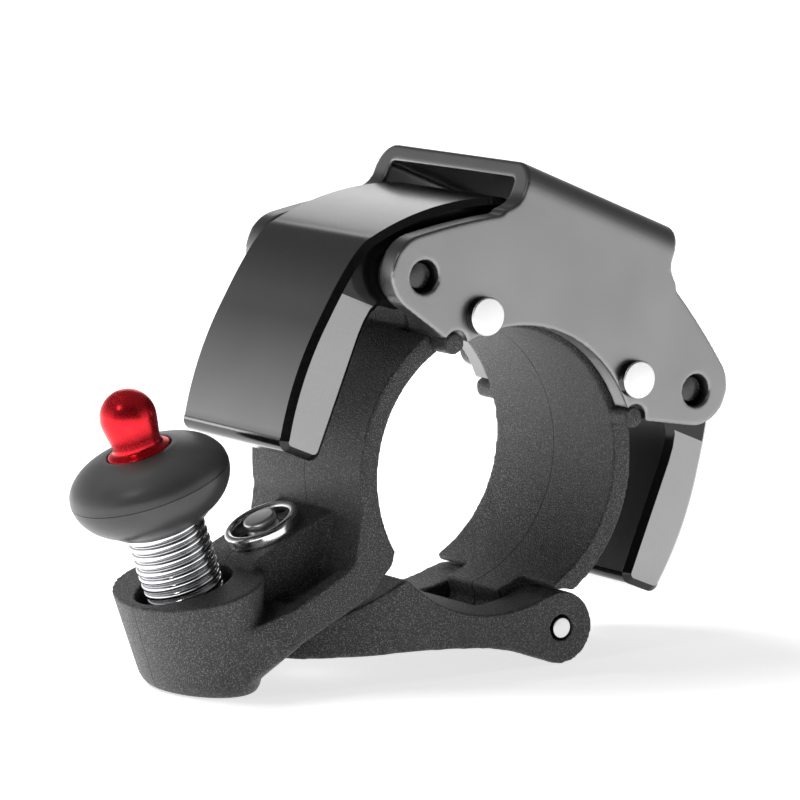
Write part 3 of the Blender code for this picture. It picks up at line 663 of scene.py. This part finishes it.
def chamfered_bar(name, outline):
    """The outline extruded along Y, with a chamfer round both side faces."""
    bm = bmesh.new()
    edge = STRIP_HALF - STRIP_CHAMFER
    smaller = inset(outline, STRIP_CHAMFER)
    rings = []
    for y, points in ((-STRIP_HALF, smaller), (-edge, outline), (edge, outline), (STRIP_HALF, smaller)):
        rings.append([bm.verts.new((x, y, z)) for x, z in points])
    bm.faces.new(rings[0])
    bm.faces.new(list(reversed(rings[-1])))
    count = len(outline)
    for first, second in zip(rings, rings[1:]):
        for i in range(count):
            after = (i + 1) % count
            bm.faces.new((first[i], second[i], second[after], first[after]))
    return object_from(name, bm)


def split_at(obj, height):
    """Cut new edges into the faces along a level plane."""
    bm = bmesh.new()
    bm.from_mesh(obj.data)
    bmesh.ops.bisect_plane(bm, geom=bm.verts[:] + bm.edges[:] + bm.faces[:],
                           plane_co=(0.0, 0.0, height), plane_no=(0.0, 0.0, 1.0))
    bm.to_mesh(obj.data)
    bm.free()


def paint_shade_black(strip, material):
    """Painted shade: gloss black on the chamfers, the arms' ends and the crown's sides above the arms' flat
    sides, in place of their dark reflections and the bracket's shadow.
    """
    strip.data.materials.append(material)
    for face in strip.data.polygons:
        height = face.center.z * math.cos(TILT) + face.center.x * math.sin(TILT)
        across = abs(face.normal.y)
        # Chamfers, crown sides and arm ends: all get the painted shade.
        chamfer = 0.3 < across < 0.93
        crown_side = across >= 0.93 and height > PAINTED_SHADE_TOP
        arm_end = height < STRIP_END + 0.9 * MM
        if chamfer or crown_side or arm_end:
            face.material_index = 1


def bell_strip(material, painted_shade_material):
    """The sounding bar, bored for its bushes, with sharp-edged highlights and painted shade in gloss black on
    its chamfers, ends and crown sides.
    """
    outline = strip_outline()
    strip = chamfered_bar("bell_bar", outline + mirrored(outline))
    for side in (-1, 1):
        cut(strip, hole("bush_hole", (side * STRIP_PIN[0], STRIP_PIN[1]), BUSH_OUTER + FIT))
    # An edge at the height where the painted shade on the crown's sides starts.
    split_at(strip, PAINTED_SHADE_TOP)
    strip.data.shade_smooth()
    strip.data.set_sharp_from_angle(angle=BAR_SHARP)
    weighted = strip.modifiers.new("weighted", "WEIGHTED_NORMAL")
    weighted.keep_sharp = True
    apply_modifiers(strip)
    finish(in_bell(strip), "frame", material, "bell_gloss", "bell_strip")
    # Painted shade and dark reflection in gloss black.
    paint_shade_black(strip, painted_shade_material)


def strip_mounts(pin_material, rubber_material):
    """The bar's pins, and on each a flanged bush at either plate."""
    edge = 0.2 * MM
    bevel = 0.06 * MM
    for side, label in ((-1, "left"), (1, "right")):
        point = (side * STRIP_PIN[0], STRIP_PIN[1])
        half = [(STRIP_PIN_RADIUS, STRIP_PIN_HALF - edge), (STRIP_PIN_RADIUS - bevel, STRIP_PIN_HALF - bevel),
                (STRIP_PIN_RADIUS - edge, STRIP_PIN_HALF), (0.0, STRIP_PIN_HALF)]
        profile = [(radius, -height) for radius, height in reversed(half)] + half
        pin = in_bell(along_y(turned("bell_pin_" + label, profile, 64), point))
        finish(pin, "frame", pin_material, "dark_pin", "strip_pin_" + label)
        inner = STRIP_PIN_RADIUS + FIT
        low = STRIP_HALF + 0.1 * MM
        high = PLATE_Y - SHEET - 0.1 * MM
        rim = 0.25 * MM
        for end, word in ((-1, "front"), (1, "rear")):
            sleeve = [(inner, SLEEVE_START), (BUSH_OUTER, SLEEVE_START), (BUSH_OUTER, low),
                      (FLANGE_RADIUS - rim, low), (FLANGE_RADIUS, low + rim), (FLANGE_RADIUS, high - rim),
                      (FLANGE_RADIUS - rim, high), (inner, high)]
            profile = [(radius, end * height) for radius, height in sleeve]
            bush = in_bell(along_y(turned("bush_%s_%s" % (label, word), profile, 64), point))
            finish(bush, "frame", rubber_material, "bush_rubber", "strip_bush_%s_%s" % (label, word))


def headed_pins(material, painted_shade_material):
    """Two pins with heads at both ends, and the plain pin of the link's hinge."""
    head = PLATE_Y + 0.05 * MM
    top = PLATE_Y + PIN_HEAD_HEIGHT
    rim = 0.22 * MM
    for side, label in ((-1, "left"), (1, "right")):
        half = [(PIN_SHANK, head), (PIN_HEAD, head)]
        half += arc((PIN_HEAD - rim, top - rim), rim, 0, 90, 18)
        half.append((0.0, top))
        profile = [(radius, -height) for radius, height in reversed(half)] + half
        pin = along_y(turned("clamp_rivet_" + label, profile, 72), (side * CLAMP_PIN[0], CLAMP_PIN[1]))
        finish(in_bell(pin), "frame", material, "bright_pin", "clamp_pin_" + label)
        # The heads' walls are painted dark as shade.
        paint_pin_walls_shade(pin, painted_shade_material)
    reach = HALF_WIDTH + 0.05 * MM
    rim = 0.12 * MM
    half = arc((HINGE_PIN_RADIUS - rim, reach - rim), rim, 0, 90, 30) + [(0.0, reach)]
    profile = [(radius, -height) for radius, height in reversed(half)] + half
    pin = along_y(turned("link_hinge_pin", profile, 64), HINGE)
    finish(pin, "frame", material, "bright_pin", "hinge_pin")
    # The pin's walls are painted dark as shade.
    paint_pin_walls_shade(pin, painted_shade_material)


# ---- moulded clamp pieces ----
def wedge(name, start, end, low, high):
    """A slice of the ring between two directions, in degrees."""
    return prism(name, [(0.0, 0.0)] + arc((0, 0), 40 * MM, start, end, 20), low, high)


def bore(name):
    """Cutter for the handlebar's room; the flats of its sides touch the bar's radius from outside."""
    sides = 180
    cutter = cylinder(name, BAR_RADIUS / math.cos(math.pi / sides), -FAR, FAR, sides)
    return along_y(cutter, (0, 0))


def knuckle(name, point, radius, low, high, segments=72):
    return along_y(cylinder(name, radius, low, high, segments), point)


def clamp_jaw(material):
    """Fixed side of the ring, with two knuckles, four pegs and the lug for the link."""
    left_pin = to_world((-CLAMP_PIN[0], CLAMP_PIN[1]))
    right_pin = to_world(CLAMP_PIN)
    lean = math.degrees(TILT)
    inner_side = KNUCKLE_SPLIT + GAP
    lug_end = JAW_END - 16
    outline = arc((0, 0), RING_OUTER, JAW_TOP - lean, lug_end)
    outline += arc((0, 0), RING_CORE, lug_end, JAW_TOP - lean, 9)
    jaw = prism("jaw_moulding", outline, -HALF_WIDTH, HALF_WIDTH)
    join(jaw, knuckle("right_knuckle", right_pin, KNUCKLE, -HALF_WIDTH, HALF_WIDTH))
    join(jaw, knuckle("left_knuckle", left_pin, KNUCKLE, -HALF_WIDTH, HALF_WIDTH))
    join(jaw, knuckle("lug", HINGE, HINGE_KNUCKLE, -HALF_WIDTH, HALF_WIDTH))
    arm_room = arc(left_pin, KNUCKLE + GAP, -100, 70, 5) + [polar(30 * MM, 100), polar(30 * MM, 130)]
    arm_room.append(polar(10 * MM, 122))
    cut(jaw, prism("arm_room", arm_room, -inner_side, inner_side))
    link_room = arc(HINGE, HINGE_KNUCKLE + GAP, 48, 100, 5)
    link_room += [polar(13 * MM, JAW_END - 2), polar(13 * MM, JAW_END - 34)]
    link_room += [polar(30 * MM, JAW_END - 34), polar(30 * MM, JAW_END + 10)]
    for low, high in ((-FAR, -LUG_HALF), (LUG_HALF, FAR)):
        cut(jaw, prism("link_room", link_room, low, high))
    for side in (-1, 1):
        peg_point = to_world((side * PEG[0], PEG[1]))
        for low, high in ((-PEG_END, -PEG_START), (PEG_START, PEG_END)):
            join(jaw, knuckle("peg", peg_point, PEG[2], low, high, 32))
    cut(jaw, bore("jaw_bore"))
    for point in (left_pin, right_pin):
        cut(jaw, hole("jaw_pin", point, PIN_SHANK + FIT))
    cut(jaw, hole("jaw_hinge", HINGE, HINGE_PIN_RADIUS + FIT))
    moulded(jaw, PLASTIC_VOXEL, 5)
    finish(jaw, "frame", material, "clamp_plastic", "clamp_jaw")


def band_outline():
    """The arm's ring wall and the flat band that runs from it towards the socket."""
    ring = arc((0, 0), RING_OUTER, ARM_WALL_TOP, 190)
    top_edge = scaled([(-18.7, -8.6), (-19.3, -9.4), (-20.2, -10.1), BAND_TOP])
    inside = arc((0, 0), RING_CORE, 205, ARM_WALL_TOP, 9)
    return ring + top_edge + list(reversed(scaled(UNDERSIDE))) + inside


def core_outline():
    """The block that carries the nut; its top lies square to the bolt."""
    platform = bolt_point(-NUT_HEIGHT - 0.05 * MM)
    along = (-math.cos(BOLT_LEAN), -math.sin(BOLT_LEAN))
    right = (platform[0] - along[0] * PLATFORM_RIGHT, platform[1] - along[1] * PLATFORM_RIGHT)
    left = (platform[0] + along[0] * PLATFORM_LEFT, platform[1] + along[1] * PLATFORM_LEFT)
    return [right, left] + scaled([(-30.0, -13.0), (-26.5, -16.9), (-17.0, -12.3), (-16.3, -6.0)])


def cup_point(angle, depth, part_x=1.0, part_y=1.0):
    """A point on the socket's outside: depth 0 is its sloping rim and 1 its foot, which the parts shrink."""
    top_x = CUP_RIM[0] + CUP_RIM[1] * math.cos(angle)
    top_z = RIM_PLANE[1] + (top_x - RIM_PLANE[0]) * math.tan(RIM_SLOPE)
    foot_x = CUP_FOOT[0] + CUP_FOOT[1] * math.cos(angle) * part_x
    width = CUP_RIM[2] * (1 - depth) + CUP_FOOT[2] * part_y * depth
    return (top_x * (1 - depth) + foot_x * depth, width * math.sin(angle),
            top_z * (1 - depth) + GROUND * depth)


def socket_cup():
    """The striker's socket: a tapered oval with a rounded foot."""
    bm = bmesh.new()
    levels = [(0.0, 1.0, 1.0), (0.4, 1.0, 1.0), (0.8, 1.0, 1.0)]
    bend = 1.0 - CUP_BEND
    for i in range(1, 7):
        turn = math.pi / 2 * i / 6
        levels.append((CUP_BEND + bend * math.sin(turn), CUP_BEND + bend * math.cos(turn),
                       0.86 + 0.14 * math.cos(turn)))
    around = 96
    rings = []
    for depth, part_x, part_y in levels:
        angles = [2 * math.pi * i / around for i in range(around)]
        rings.append([bm.verts.new(cup_point(angle, depth, part_x, part_y)) for angle in angles])
    bm.faces.new(rings[0])
    bm.faces.new(list(reversed(rings[-1])))
    for upper, lower in zip(rings, rings[1:]):
        for i in range(around):
            after = (i + 1) % around
            bm.faces.new((upper[i], lower[i], lower[after], upper[after]))
    return object_from("cup", bm)


def hull(name, points):
    """The convex solid round the points."""
    bm = bmesh.new()
    for point in points:
        bm.verts.new(point)
    bmesh.ops.convex_hull(bm, input=bm.verts)
    loose = [vert for vert in bm.verts if not vert.link_faces]
    bmesh.ops.delete(bm, geom=loose, context="VERTS")
    return object_from(name, bm)


def band_end():
    """The flare that joins the band to both sides of the socket."""
    points = []
    for side in (-1, 1):
        for x, z in scaled([(-26.0, -13.09), BAND_TOP, (-26.0, -17.46), UNDERSIDE[-1]]):
            points.append((x, side * (ARM_HALF_WIDTH - 0.05 * MM), z))
        for depth in (0.36, 0.43, 0.5, 0.6, 0.7, 0.8, 0.87):
            for degrees in (50, 56, 62, 68, 74, 80, 86):
                x, y, z = cup_point(math.radians(degrees), depth)
                points.append((x, side * y, z))
    return hull("band_end", points)


def bolt_sweep():
    """The room that the bolt needs in the arm while the link swings it out."""
    left_pin = to_world((-CLAMP_PIN[0], CLAMP_PIN[1]))
    reach = BOLT_RADIUS + BOLT_SLOT_ROOM
    points = []
    for step in range(9):
        arm_turn = ARM_OPEN * 0.05 * step
        for distance in (-15 * MM, BOLT_RISE + 0.3 * MM):
            for offset in (-reach, reach):
                centre = bolt_point(distance)
                corner = (centre[0] + offset * math.cos(BOLT_LEAN), centre[1] + offset * math.sin(BOLT_LEAN))
                moved = turned_about(corner, HINGE, -LINK_RATIO * arm_turn)
                x, z = turned_about(moved, left_pin, -arm_turn)
                points += [(x, -reach, z), (x, reach, z)]
    return hull("bolt_slot", points)


def clamp_arm(material):
    """Swinging side of the ring, with the nut's platform and the striker's socket."""
    left_pin = to_world((-CLAMP_PIN[0], CLAMP_PIN[1]))
    width = ARM_HALF_WIDTH
    arm = prism("arm_moulding", band_outline(), -width, width)
    jaw_gap = ARM_TOP - math.degrees(TILT)
    for low, high in ((-FAR, -KNUCKLE_SPLIT), (KNUCKLE_SPLIT, FAR)):
        cut(arm, wedge("jaw_side", jaw_gap - 40, jaw_gap, low, high))
        cut(arm, knuckle("jaw_room", left_pin, KNUCKLE + GAP, low, high))
    for low, high in ((-width + SIDE_WALL, -SIDE_POCKET_START), (SIDE_POCKET_START, width - SIDE_WALL)):
        pocket = scaled([(-19.4, -3.0), (-19.4, -10.9), (-21.0, -11.9), (-27.5, -14.9), (-27.5, -3.0)])
        cut(arm, prism("side_pocket", pocket, low, high))
    join(arm, prism("core", core_outline(), -CORE_HALF, CORE_HALF))
    join(arm, socket_cup())
    join(arm, band_end())
    join(arm, knuckle("arm_knuckle", left_pin, KNUCKLE, -KNUCKLE_SPLIT, KNUCKLE_SPLIT))
    cut(arm, bore("arm_bore"))
    cut(arm, hole("arm_pin", left_pin, PIN_SHANK + FIT))
    cut(arm, bolt_sweep())
    pocket = [(0.0, -FAR), (SCREW_SEAT, -FAR), (SCREW_SEAT, SEAT_TOP), (SCREW_HOLE, SEAT_TOP),
              (SCREW_HOLE, POCKET_FLOOR), (POCKET_RADIUS, POCKET_FLOOR), (POCKET_RADIUS, 12 * MM),
              (0.0, 12 * MM)]
    cut(arm, on_striker(turned("spring_pocket", pocket, 96)))
    moulded(arm, PLASTIC_VOXEL, 5)
    finish(arm, "arm", material, "clamp_plastic", "clamp_arm")


def link_outline():
    """The strap from the front: hinge, saddle under the bar, peak beside the bolt, and underside."""
    knuckle_side = arc(HINGE, HINGE_KNUCKLE, -120, 114, 4)
    saddle = arc((0, 0), SADDLE_RADIUS, -67, -135)
    peak = scaled([(-12.5, -11.5), (-13.2, -11.9), (-17.0, -13.75), (-27.0, -18.55), (-27.0, -20.6)])
    lower = scaled([(-20.2, -19.9), (-13.5, -19.7), (-6.7, -20.0), (-1.3, -20.5), (2.0, -21.2)])
    return knuckle_side + saddle + peak + lower


def hinge_link(material):
    """Strap under the handlebar, slotted for the lug and bored for the bolt."""
    link = prism("link_moulding", link_outline(), -HALF_WIDTH - MM, HALF_WIDTH + MM)
    plan = arc((-LINK_END, 0.0), HALF_WIDTH, 90, 270, 4) + [(20 * MM, -HALF_WIDTH), (20 * MM, HALF_WIDTH)]
    rounded = prism("link_plan", plan, -40 * MM, 10 * MM)
    rounded.data.transform(Matrix.Rotation(math.pi / 2, 4, "X"))
    combine(link, rounded, "INTERSECT")
    lug_room = LUG_HALF + GAP
    slot = arc(HINGE, HINGE_KNUCKLE + 0.4 * MM, 300, 180, 5)
    slot += scaled([(2.0, -18.4), (0.5, -16.0), (0.5, -12.0), (14.5, -12.0), (14.5, -26.0), (10.7, -26.0)])
    cut(link, prism("lug_slot", slot, -lug_room, lug_room))
    cut(link, hole("link_hinge", HINGE, HINGE_PIN_RADIUS + 0.3 * MM))
    cut(link, on_bolt(cylinder("link_bolt", BOLT_RADIUS + 0.25 * MM, -25 * MM, 0.0)))
    seat = HEAD_TOP + WASHER_THICK + 0.15 * MM
    cut(link, on_bolt(cylinder("head_seat", WASHER_RADIUS + 0.2 * MM, -25 * MM, seat)))
    moulded(link, PLASTIC_VOXEL, 5)
    finish(link, "link", material, "clamp_plastic", "hinge_link")


# ---- bolt, nut ring and washer ----
def clamp_nut(material):
    """Chrome ring with a rounded top, round the bolt's end."""
    low = -NUT_HEIGHT
    middle = (NUT_OUTER + NUT_INNER) / 2
    half = (NUT_OUTER - NUT_INNER) / 2
    profile = [(NUT_INNER, low), (NUT_OUTER, low)]
    profile += arc((middle, -half), half, 0, 180, 12)
    nut = on_bolt(turned("nut_ring", profile, 96, 50))
    finish(nut, "arm", material, "chrome_parts", "clamp_nut")


def clamp_bolt(material):
    """Bolt with thread rings, a rounded end and a hexagon socket, and the washer under its head."""
    edge = 0.35 * MM
    round_edge = 0.25 * MM
    rim = 0.1 * MM
    low = HEAD_TOP - HEAD_HEIGHT
    profile = [(0.0, low), (HEAD_RADIUS - round_edge, low)]
    profile += arc((HEAD_RADIUS - round_edge, low + round_edge), round_edge, -90, 0, 18)
    profile += [(HEAD_RADIUS, HEAD_TOP - rim), (HEAD_RADIUS - rim, HEAD_TOP), (BOLT_RADIUS, HEAD_TOP)]
    root = BOLT_RADIUS - THREAD_DEPTH
    profile.append((BOLT_RADIUS, THREAD_START))
    for turn in range(THREAD_TURNS):
        base = THREAD_START + THREAD_PITCH * turn
        profile += [(root, base + THREAD_PITCH * 0.45), (root, base + THREAD_PITCH * 0.55),
                    (BOLT_RADIUS, base + THREAD_PITCH * 0.95)]
    profile += arc((BOLT_RADIUS - edge, BOLT_RISE - edge), edge, 0, 90, 15)
    profile.append((0.0, BOLT_RISE))
    bolt = turned("bolt_body", profile, 72, 30)
    cut(bolt, cylinder("socket", HEX_RADIUS, low - MM, low + HEX_DEPTH, 6))
    bolt.data.shade_smooth()
    bolt.data.set_sharp_from_angle(angle=math.radians(30))
    finish(on_bolt(bolt), "bolt", material, "bolt_steel", "clamp_bolt")
    low = HEAD_TOP + 0.05 * MM
    inner = BOLT_RADIUS + FIT
    ring = [(inner, low), (WASHER_RADIUS - rim, low), (WASHER_RADIUS, low + rim),
            (WASHER_RADIUS, low + WASHER_THICK - rim), (WASHER_RADIUS - rim, low + WASHER_THICK),
            (inner, low + WASHER_THICK)]
    washer = on_bolt(turned("washer", ring, 72))
    finish(washer, "link", material, "bolt_steel", "bolt_washer")


# ---- striker ----
def striker_spring(material):
    """Chrome wire on a helix, between the socket and the disc on the striker's lean."""
    around = 48
    sides = 14
    turns = (SPRING_HIGH - SPRING_LOW - 2 * WIRE_RADIUS) / COIL_PITCH
    count = int(turns * around) + 1
    bm = bmesh.new()
    rings = []
    for i in range(count):
        angle = 2 * math.pi * i / around
        height = SPRING_LOW + WIRE_RADIUS + COIL_PITCH * i / around
        ring = []
        for j in range(sides):
            turn = 2 * math.pi * j / sides
            radius = COIL_RADIUS + WIRE_RADIUS * math.cos(turn)
            ring.append(bm.verts.new((radius * math.cos(angle), radius * math.sin(angle),
                                      height + WIRE_RADIUS * math.sin(turn))))
        rings.append(ring)
    bm.faces.new(rings[0])
    bm.faces.new(list(reversed(rings[-1])))
    for first, second in zip(rings, rings[1:]):
        for j in range(sides):
            after = (j + 1) % sides
            bm.faces.new((first[j], second[j], second[after], first[after]))
    spring = on_striker(object_from("spring_coil", bm, 60))
    spring.data.materials.append(material)
    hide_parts("striker_spring")
    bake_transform(spring)


def spring_foot(material):
    """The plug inside the spring's lowest turns, and the cross-head screw that holds it from below."""
    low = POCKET_FLOOR + 0.05 * MM
    corner = 0.4 * MM
    bore_top = PLUG_TOP - 0.8 * MM
    profile = [(SCREW_HOLE, low), (PLUG_RADIUS, low)]
    profile += arc((PLUG_RADIUS - corner, PLUG_TOP - corner), corner, 0, 90, 15)
    profile += [(0.0, PLUG_TOP), (0.0, bore_top), (SCREW_HOLE, bore_top)]
    anchor = on_striker(turned("spring_plug", profile, 64))
    finish(anchor, "arm", material, "bolt_steel", "spring_anchor")
    rim = 0.25 * MM
    flat = SCREW_HEAD_RADIUS - rim
    profile = [(0.0, SCREW_LOW), (flat, SCREW_LOW)] + arc((flat, SCREW_LOW + rim), rim, -90, 0, 18)
    profile += [(SCREW_HEAD_RADIUS, SCREW_HEAD_TOP), (SCREW_SHANK, SCREW_HEAD_TOP), (SCREW_SHANK, SCREW_TIP),
                (0.0, SCREW_TIP)]
    screw = turned("foot_screw", profile, 64)
    below = SCREW_LOW - MM
    recess = SCREW_LOW + 0.9 * MM
    reach = 1.3 * MM
    half = 0.28 * MM
    for turn in (0.0, math.pi / 2):
        slot = prism("cross", [(-reach, below), (reach, below), (reach, recess), (-reach, recess)], -half, half)
        slot.data.transform(Matrix.Rotation(turn, 4, "Z"))
        cut(screw, slot)
    screw.data.shade_smooth()
    screw.data.set_sharp_from_angle(angle=math.radians(30))
    finish(on_striker(screw), "arm", material, "bolt_steel", "anchor_screw")


def curve_through(points, steps=6):
    """A smooth (radius, z) run through a few points, by Catmull-Rom."""
    result = []
    for i in range(len(points) - 1):
        before = Vector(points[max(i - 1, 0)])
        start = Vector(points[i])
        end = Vector(points[i + 1])
        after = Vector(points[min(i + 2, len(points) - 1)])
        for k in range(steps):
            t = k / steps
            result.append(tuple(0.5 * (2 * start + (end - before) * t
                                       + (2 * before - 5 * start + 4 * end - after) * t ** 2
                                       + (3 * start - before - 3 * end + after) * t ** 3)))
    result.append(tuple(points[-1]))
    return result


def finger_disc(material):
    """Two shells that meet at the seam; heights are taken from it."""
    lower = curve_through(scaled([(9.11, -0.05), (9.0, -0.9), (8.62, -1.9), (7.93, -2.9), (6.98, -3.75),
                                  (5.95, -4.4), (5.4, -4.85)]))
    lower += scaled([(5.2, -4.9), (5.2, -2.9), (6.7, -2.9), (6.7, -0.05)])
    upper = curve_through(scaled([(9.12, 0.02), (8.93, 1.0), (8.28, 2.0), (7.18, 2.9), (5.8, 3.53),
                                  (4.3, 3.93)]))
    upper += scaled([(3.85, 3.95), (3.75, 3.85), (3.75, 3.2), (1.5, 3.2), (1.5, 0.25), (6.9, 0.25),
                     (6.9, 0.0)])
    for name, profile, node in (("disc_shell_lower", lower, "finger_disc_lower"),
                                ("disc_shell_upper", upper, "finger_disc_upper")):
        shell = turned(name, [(radius, z + DISC_SEAM) for radius, z in profile], 128)
        finish(on_striker(shell), "striker", material, "disc_black", node)


def striker_hub(material):
    """The weight inside the disc, with a spigot that fills the spring's top turns."""
    profile = scaled([(0.0, -4.9), (2.4, -4.9), (2.8, -4.5), (2.8, -2.75), (6.4, -2.75), (6.5, -2.65),
                      (6.5, 0.1), (1.4, 0.1), (1.4, -1.5), (0.0, -1.5)])
    hub = on_striker(turned("hub_weight", [(radius, z + DISC_SEAM) for radius, z in profile], 96))
    finish(hub, "striker", material, "bolt_steel", "striker_hub")


def striker_knob(material):
    """Collar, waist and round end on a stud."""
    side = curve_through(scaled([(3.64, 3.5), (3.6, 3.88), (3.35, 4.1), (2.92, 4.3), (2.74, 4.65),
                                 (2.76, 5.2), (2.9, 6.0), (3.05, 6.85)]))
    profile = scaled([(0.0, -1.3), (1.3, -1.3), (1.3, 3.3), (3.5, 3.3)]) + side
    profile += arc((0.0, KNOB_CENTRE), KNOB_BULB, -12, 86, 4)[1:]
    profile.append((0.0, KNOB_CENTRE + KNOB_BULB))
    knob = on_striker(turned("knob_body", [(radius, z + DISC_SEAM) for radius, z in profile], 96))
    finish(knob, "striker", material, "knob_red", "striker_knob")


# ---- stage, lights and camera ----
def stage():
    """White paper that glows a little, as an overexposed studio sweep does."""
    bm = bmesh.new()
    height = GROUND - FLOOR_GAP
    corners = []
    for x, y in ((-1, -1), (1, -1), (1, 1), (-1, 1)):
        corners.append(bm.verts.new((x * FLOOR_HALF, y * FLOOR_HALF, height)))
    bm.faces.new(corners)
    floor = object_from("studio_floor", bm)
    shader = Shader("floor_paper", specular=0.1)
    shader.surface.inputs["Roughness"].default_value = 0.9
    fine = shader.noise(900, 2.0, 0.5)
    shader.colour(shader.mix(fine, grey(0.74), grey(0.78)))
    shader.surface.inputs["Emission Color"].default_value = (1.0, 1.0, 1.0, 1.0)
    distance = shader.nodes.new("ShaderNodeVectorMath")
    distance.operation = "LENGTH"
    shader.link(shader.place, distance, 0)
    glow = shader.remap(distance.outputs["Value"], 0.12, 0.9, FLOOR_GLOW, FAR_GLOW)
    shader.link(glow, shader.surface, "Emission Strength")
    floor.data.materials.append(shader.material)


def lamp(name, place, size, power, glossy=True):
    """A rectangular lamp that faces the origin; one that isn't glossy lights without being mirrored."""
    data = bpy.data.lights.new(name, "AREA")
    data.shape = "RECTANGLE"
    data.size = size[0]
    data.size_y = size[1]
    data.energy = power
    light = bpy.data.objects.new(name, data)
    light.location = place
    light.rotation_euler = (-Vector(place)).to_track_quat("-Z", "Y").to_euler()
    light.visible_glossy = glossy
    bpy.context.scene.collection.objects.link(light)


def studio_world():
    """Bright low surround that fades to a dark ceiling, and is dark on the camera's side."""
    world = bpy.data.worlds.new("studio")
    world.use_nodes = True
    nodes = world.node_tree.nodes
    links = world.node_tree.links
    direction = nodes.new("ShaderNodeTexCoord").outputs["Generated"]
    parts = nodes.new("ShaderNodeSeparateXYZ")
    links.new(direction, parts.inputs["Vector"])
    height = nodes.new("ShaderNodeMapRange")
    for key, value in (("From Min", 0.0), ("From Max", CEILING_HEIGHT), ("To Min", 1.0), ("To Max", CEILING)):
        height.inputs[key].default_value = value
    links.new(parts.outputs["Z"], height.inputs["Value"])
    toward = nodes.new("ShaderNodeVectorMath")
    toward.operation = "DOT_PRODUCT"
    toward.inputs[1].default_value = CAMERA_SIDE
    links.new(direction, toward.inputs[0])
    side = nodes.new("ShaderNodeMapRange")
    side.interpolation_type = "SMOOTHSTEP"
    for key, value in (("From Min", 0.35), ("From Max", 0.75), ("To Min", 1.0),
                       ("To Max", CAMERA_SIDE_GLOW)):
        side.inputs[key].default_value = value
    links.new(toward.outputs["Value"], side.inputs["Value"])
    strength = nodes.new("ShaderNodeMath")
    strength.operation = "MULTIPLY"
    links.new(height.outputs["Result"], strength.inputs[0])
    links.new(side.outputs["Result"], strength.inputs[1])
    links.new(strength.outputs[0], nodes["Background"].inputs["Strength"])
    nodes["Background"].inputs["Color"].default_value = (1.0, 1.0, 1.0, 1.0)
    bpy.context.scene.world = world


def lights():
    studio_world()
    lamp("key_softbox", (-0.24, 0.27, 0.52), (0.40, 0.40), 5.6, glossy=False)
    lamp("back_panel", (0.38, 0.66, 0.35), (0.38, 0.30), 0.33)
    lamp("left_spot", (-0.50, -0.10, 0.42), (0.10, 0.10), 0.22)


def camera():
    """A long lens at the front left, aimed at the origin and shifted to frame the bell."""
    data = bpy.data.cameras.new("camera")
    data.lens = 216.7
    data.sensor_width = 36.0
    data.shift_x, data.shift_y = CAMERA_SHIFT
    data.clip_start = 0.01
    view = bpy.data.objects.new("camera", data)
    level = CAMERA_DISTANCE * math.cos(CAMERA_RISE)
    view.location = (-level * math.sin(CAMERA_AZIMUTH), -level * math.cos(CAMERA_AZIMUTH),
                     CAMERA_DISTANCE * math.sin(CAMERA_RISE))
    view.rotation_euler = (-view.location).to_track_quat("-Z", "Y").to_euler()
    bpy.context.scene.collection.objects.link(view)
    bpy.context.scene.camera = view


def main():
    plastic = moulded_plastic("clamp_grain")
    steel = plated("turned_steel", 0.60, 0.22, 0.36)
    chrome = plated("polished_chrome", 0.88, 0.06, 0.14, 0.02)
    bright = plated("bright_alloy", 1.0, 0.40, 0.50)
    # Gloss black painted as shade and dark reflection on the bar and the pins.
    edge = painted_shade_black("painted_shade_gloss")
    saddle_bracket(satin_metal("bracket_satin", 0.29))
    bell_strip(bar_metal("bar_gunmetal", 0.31), edge)
    strip_mounts(plated("dark_steel", 0.08, 0.2, 0.35), rubber("bush_black"))
    headed_pins(bright, edge)
    clamp_jaw(plastic)
    clamp_arm(plastic)
    hinge_link(plastic)
    clamp_nut(plated("nut_chrome", 0.90, 0.14, 0.24))
    clamp_bolt(plated("bolt_polish", 0.85, 0.30, 0.42))
    striker_spring(chrome)
    spring_foot(steel)
    finger_disc(disc_plastic("disc_satin"))
    striker_hub(steel)
    striker_knob(anodised("knob_anodised"))
    stage()
    lights()
    camera()
    bpy.context.scene.view_settings.view_transform = "Standard"


main()
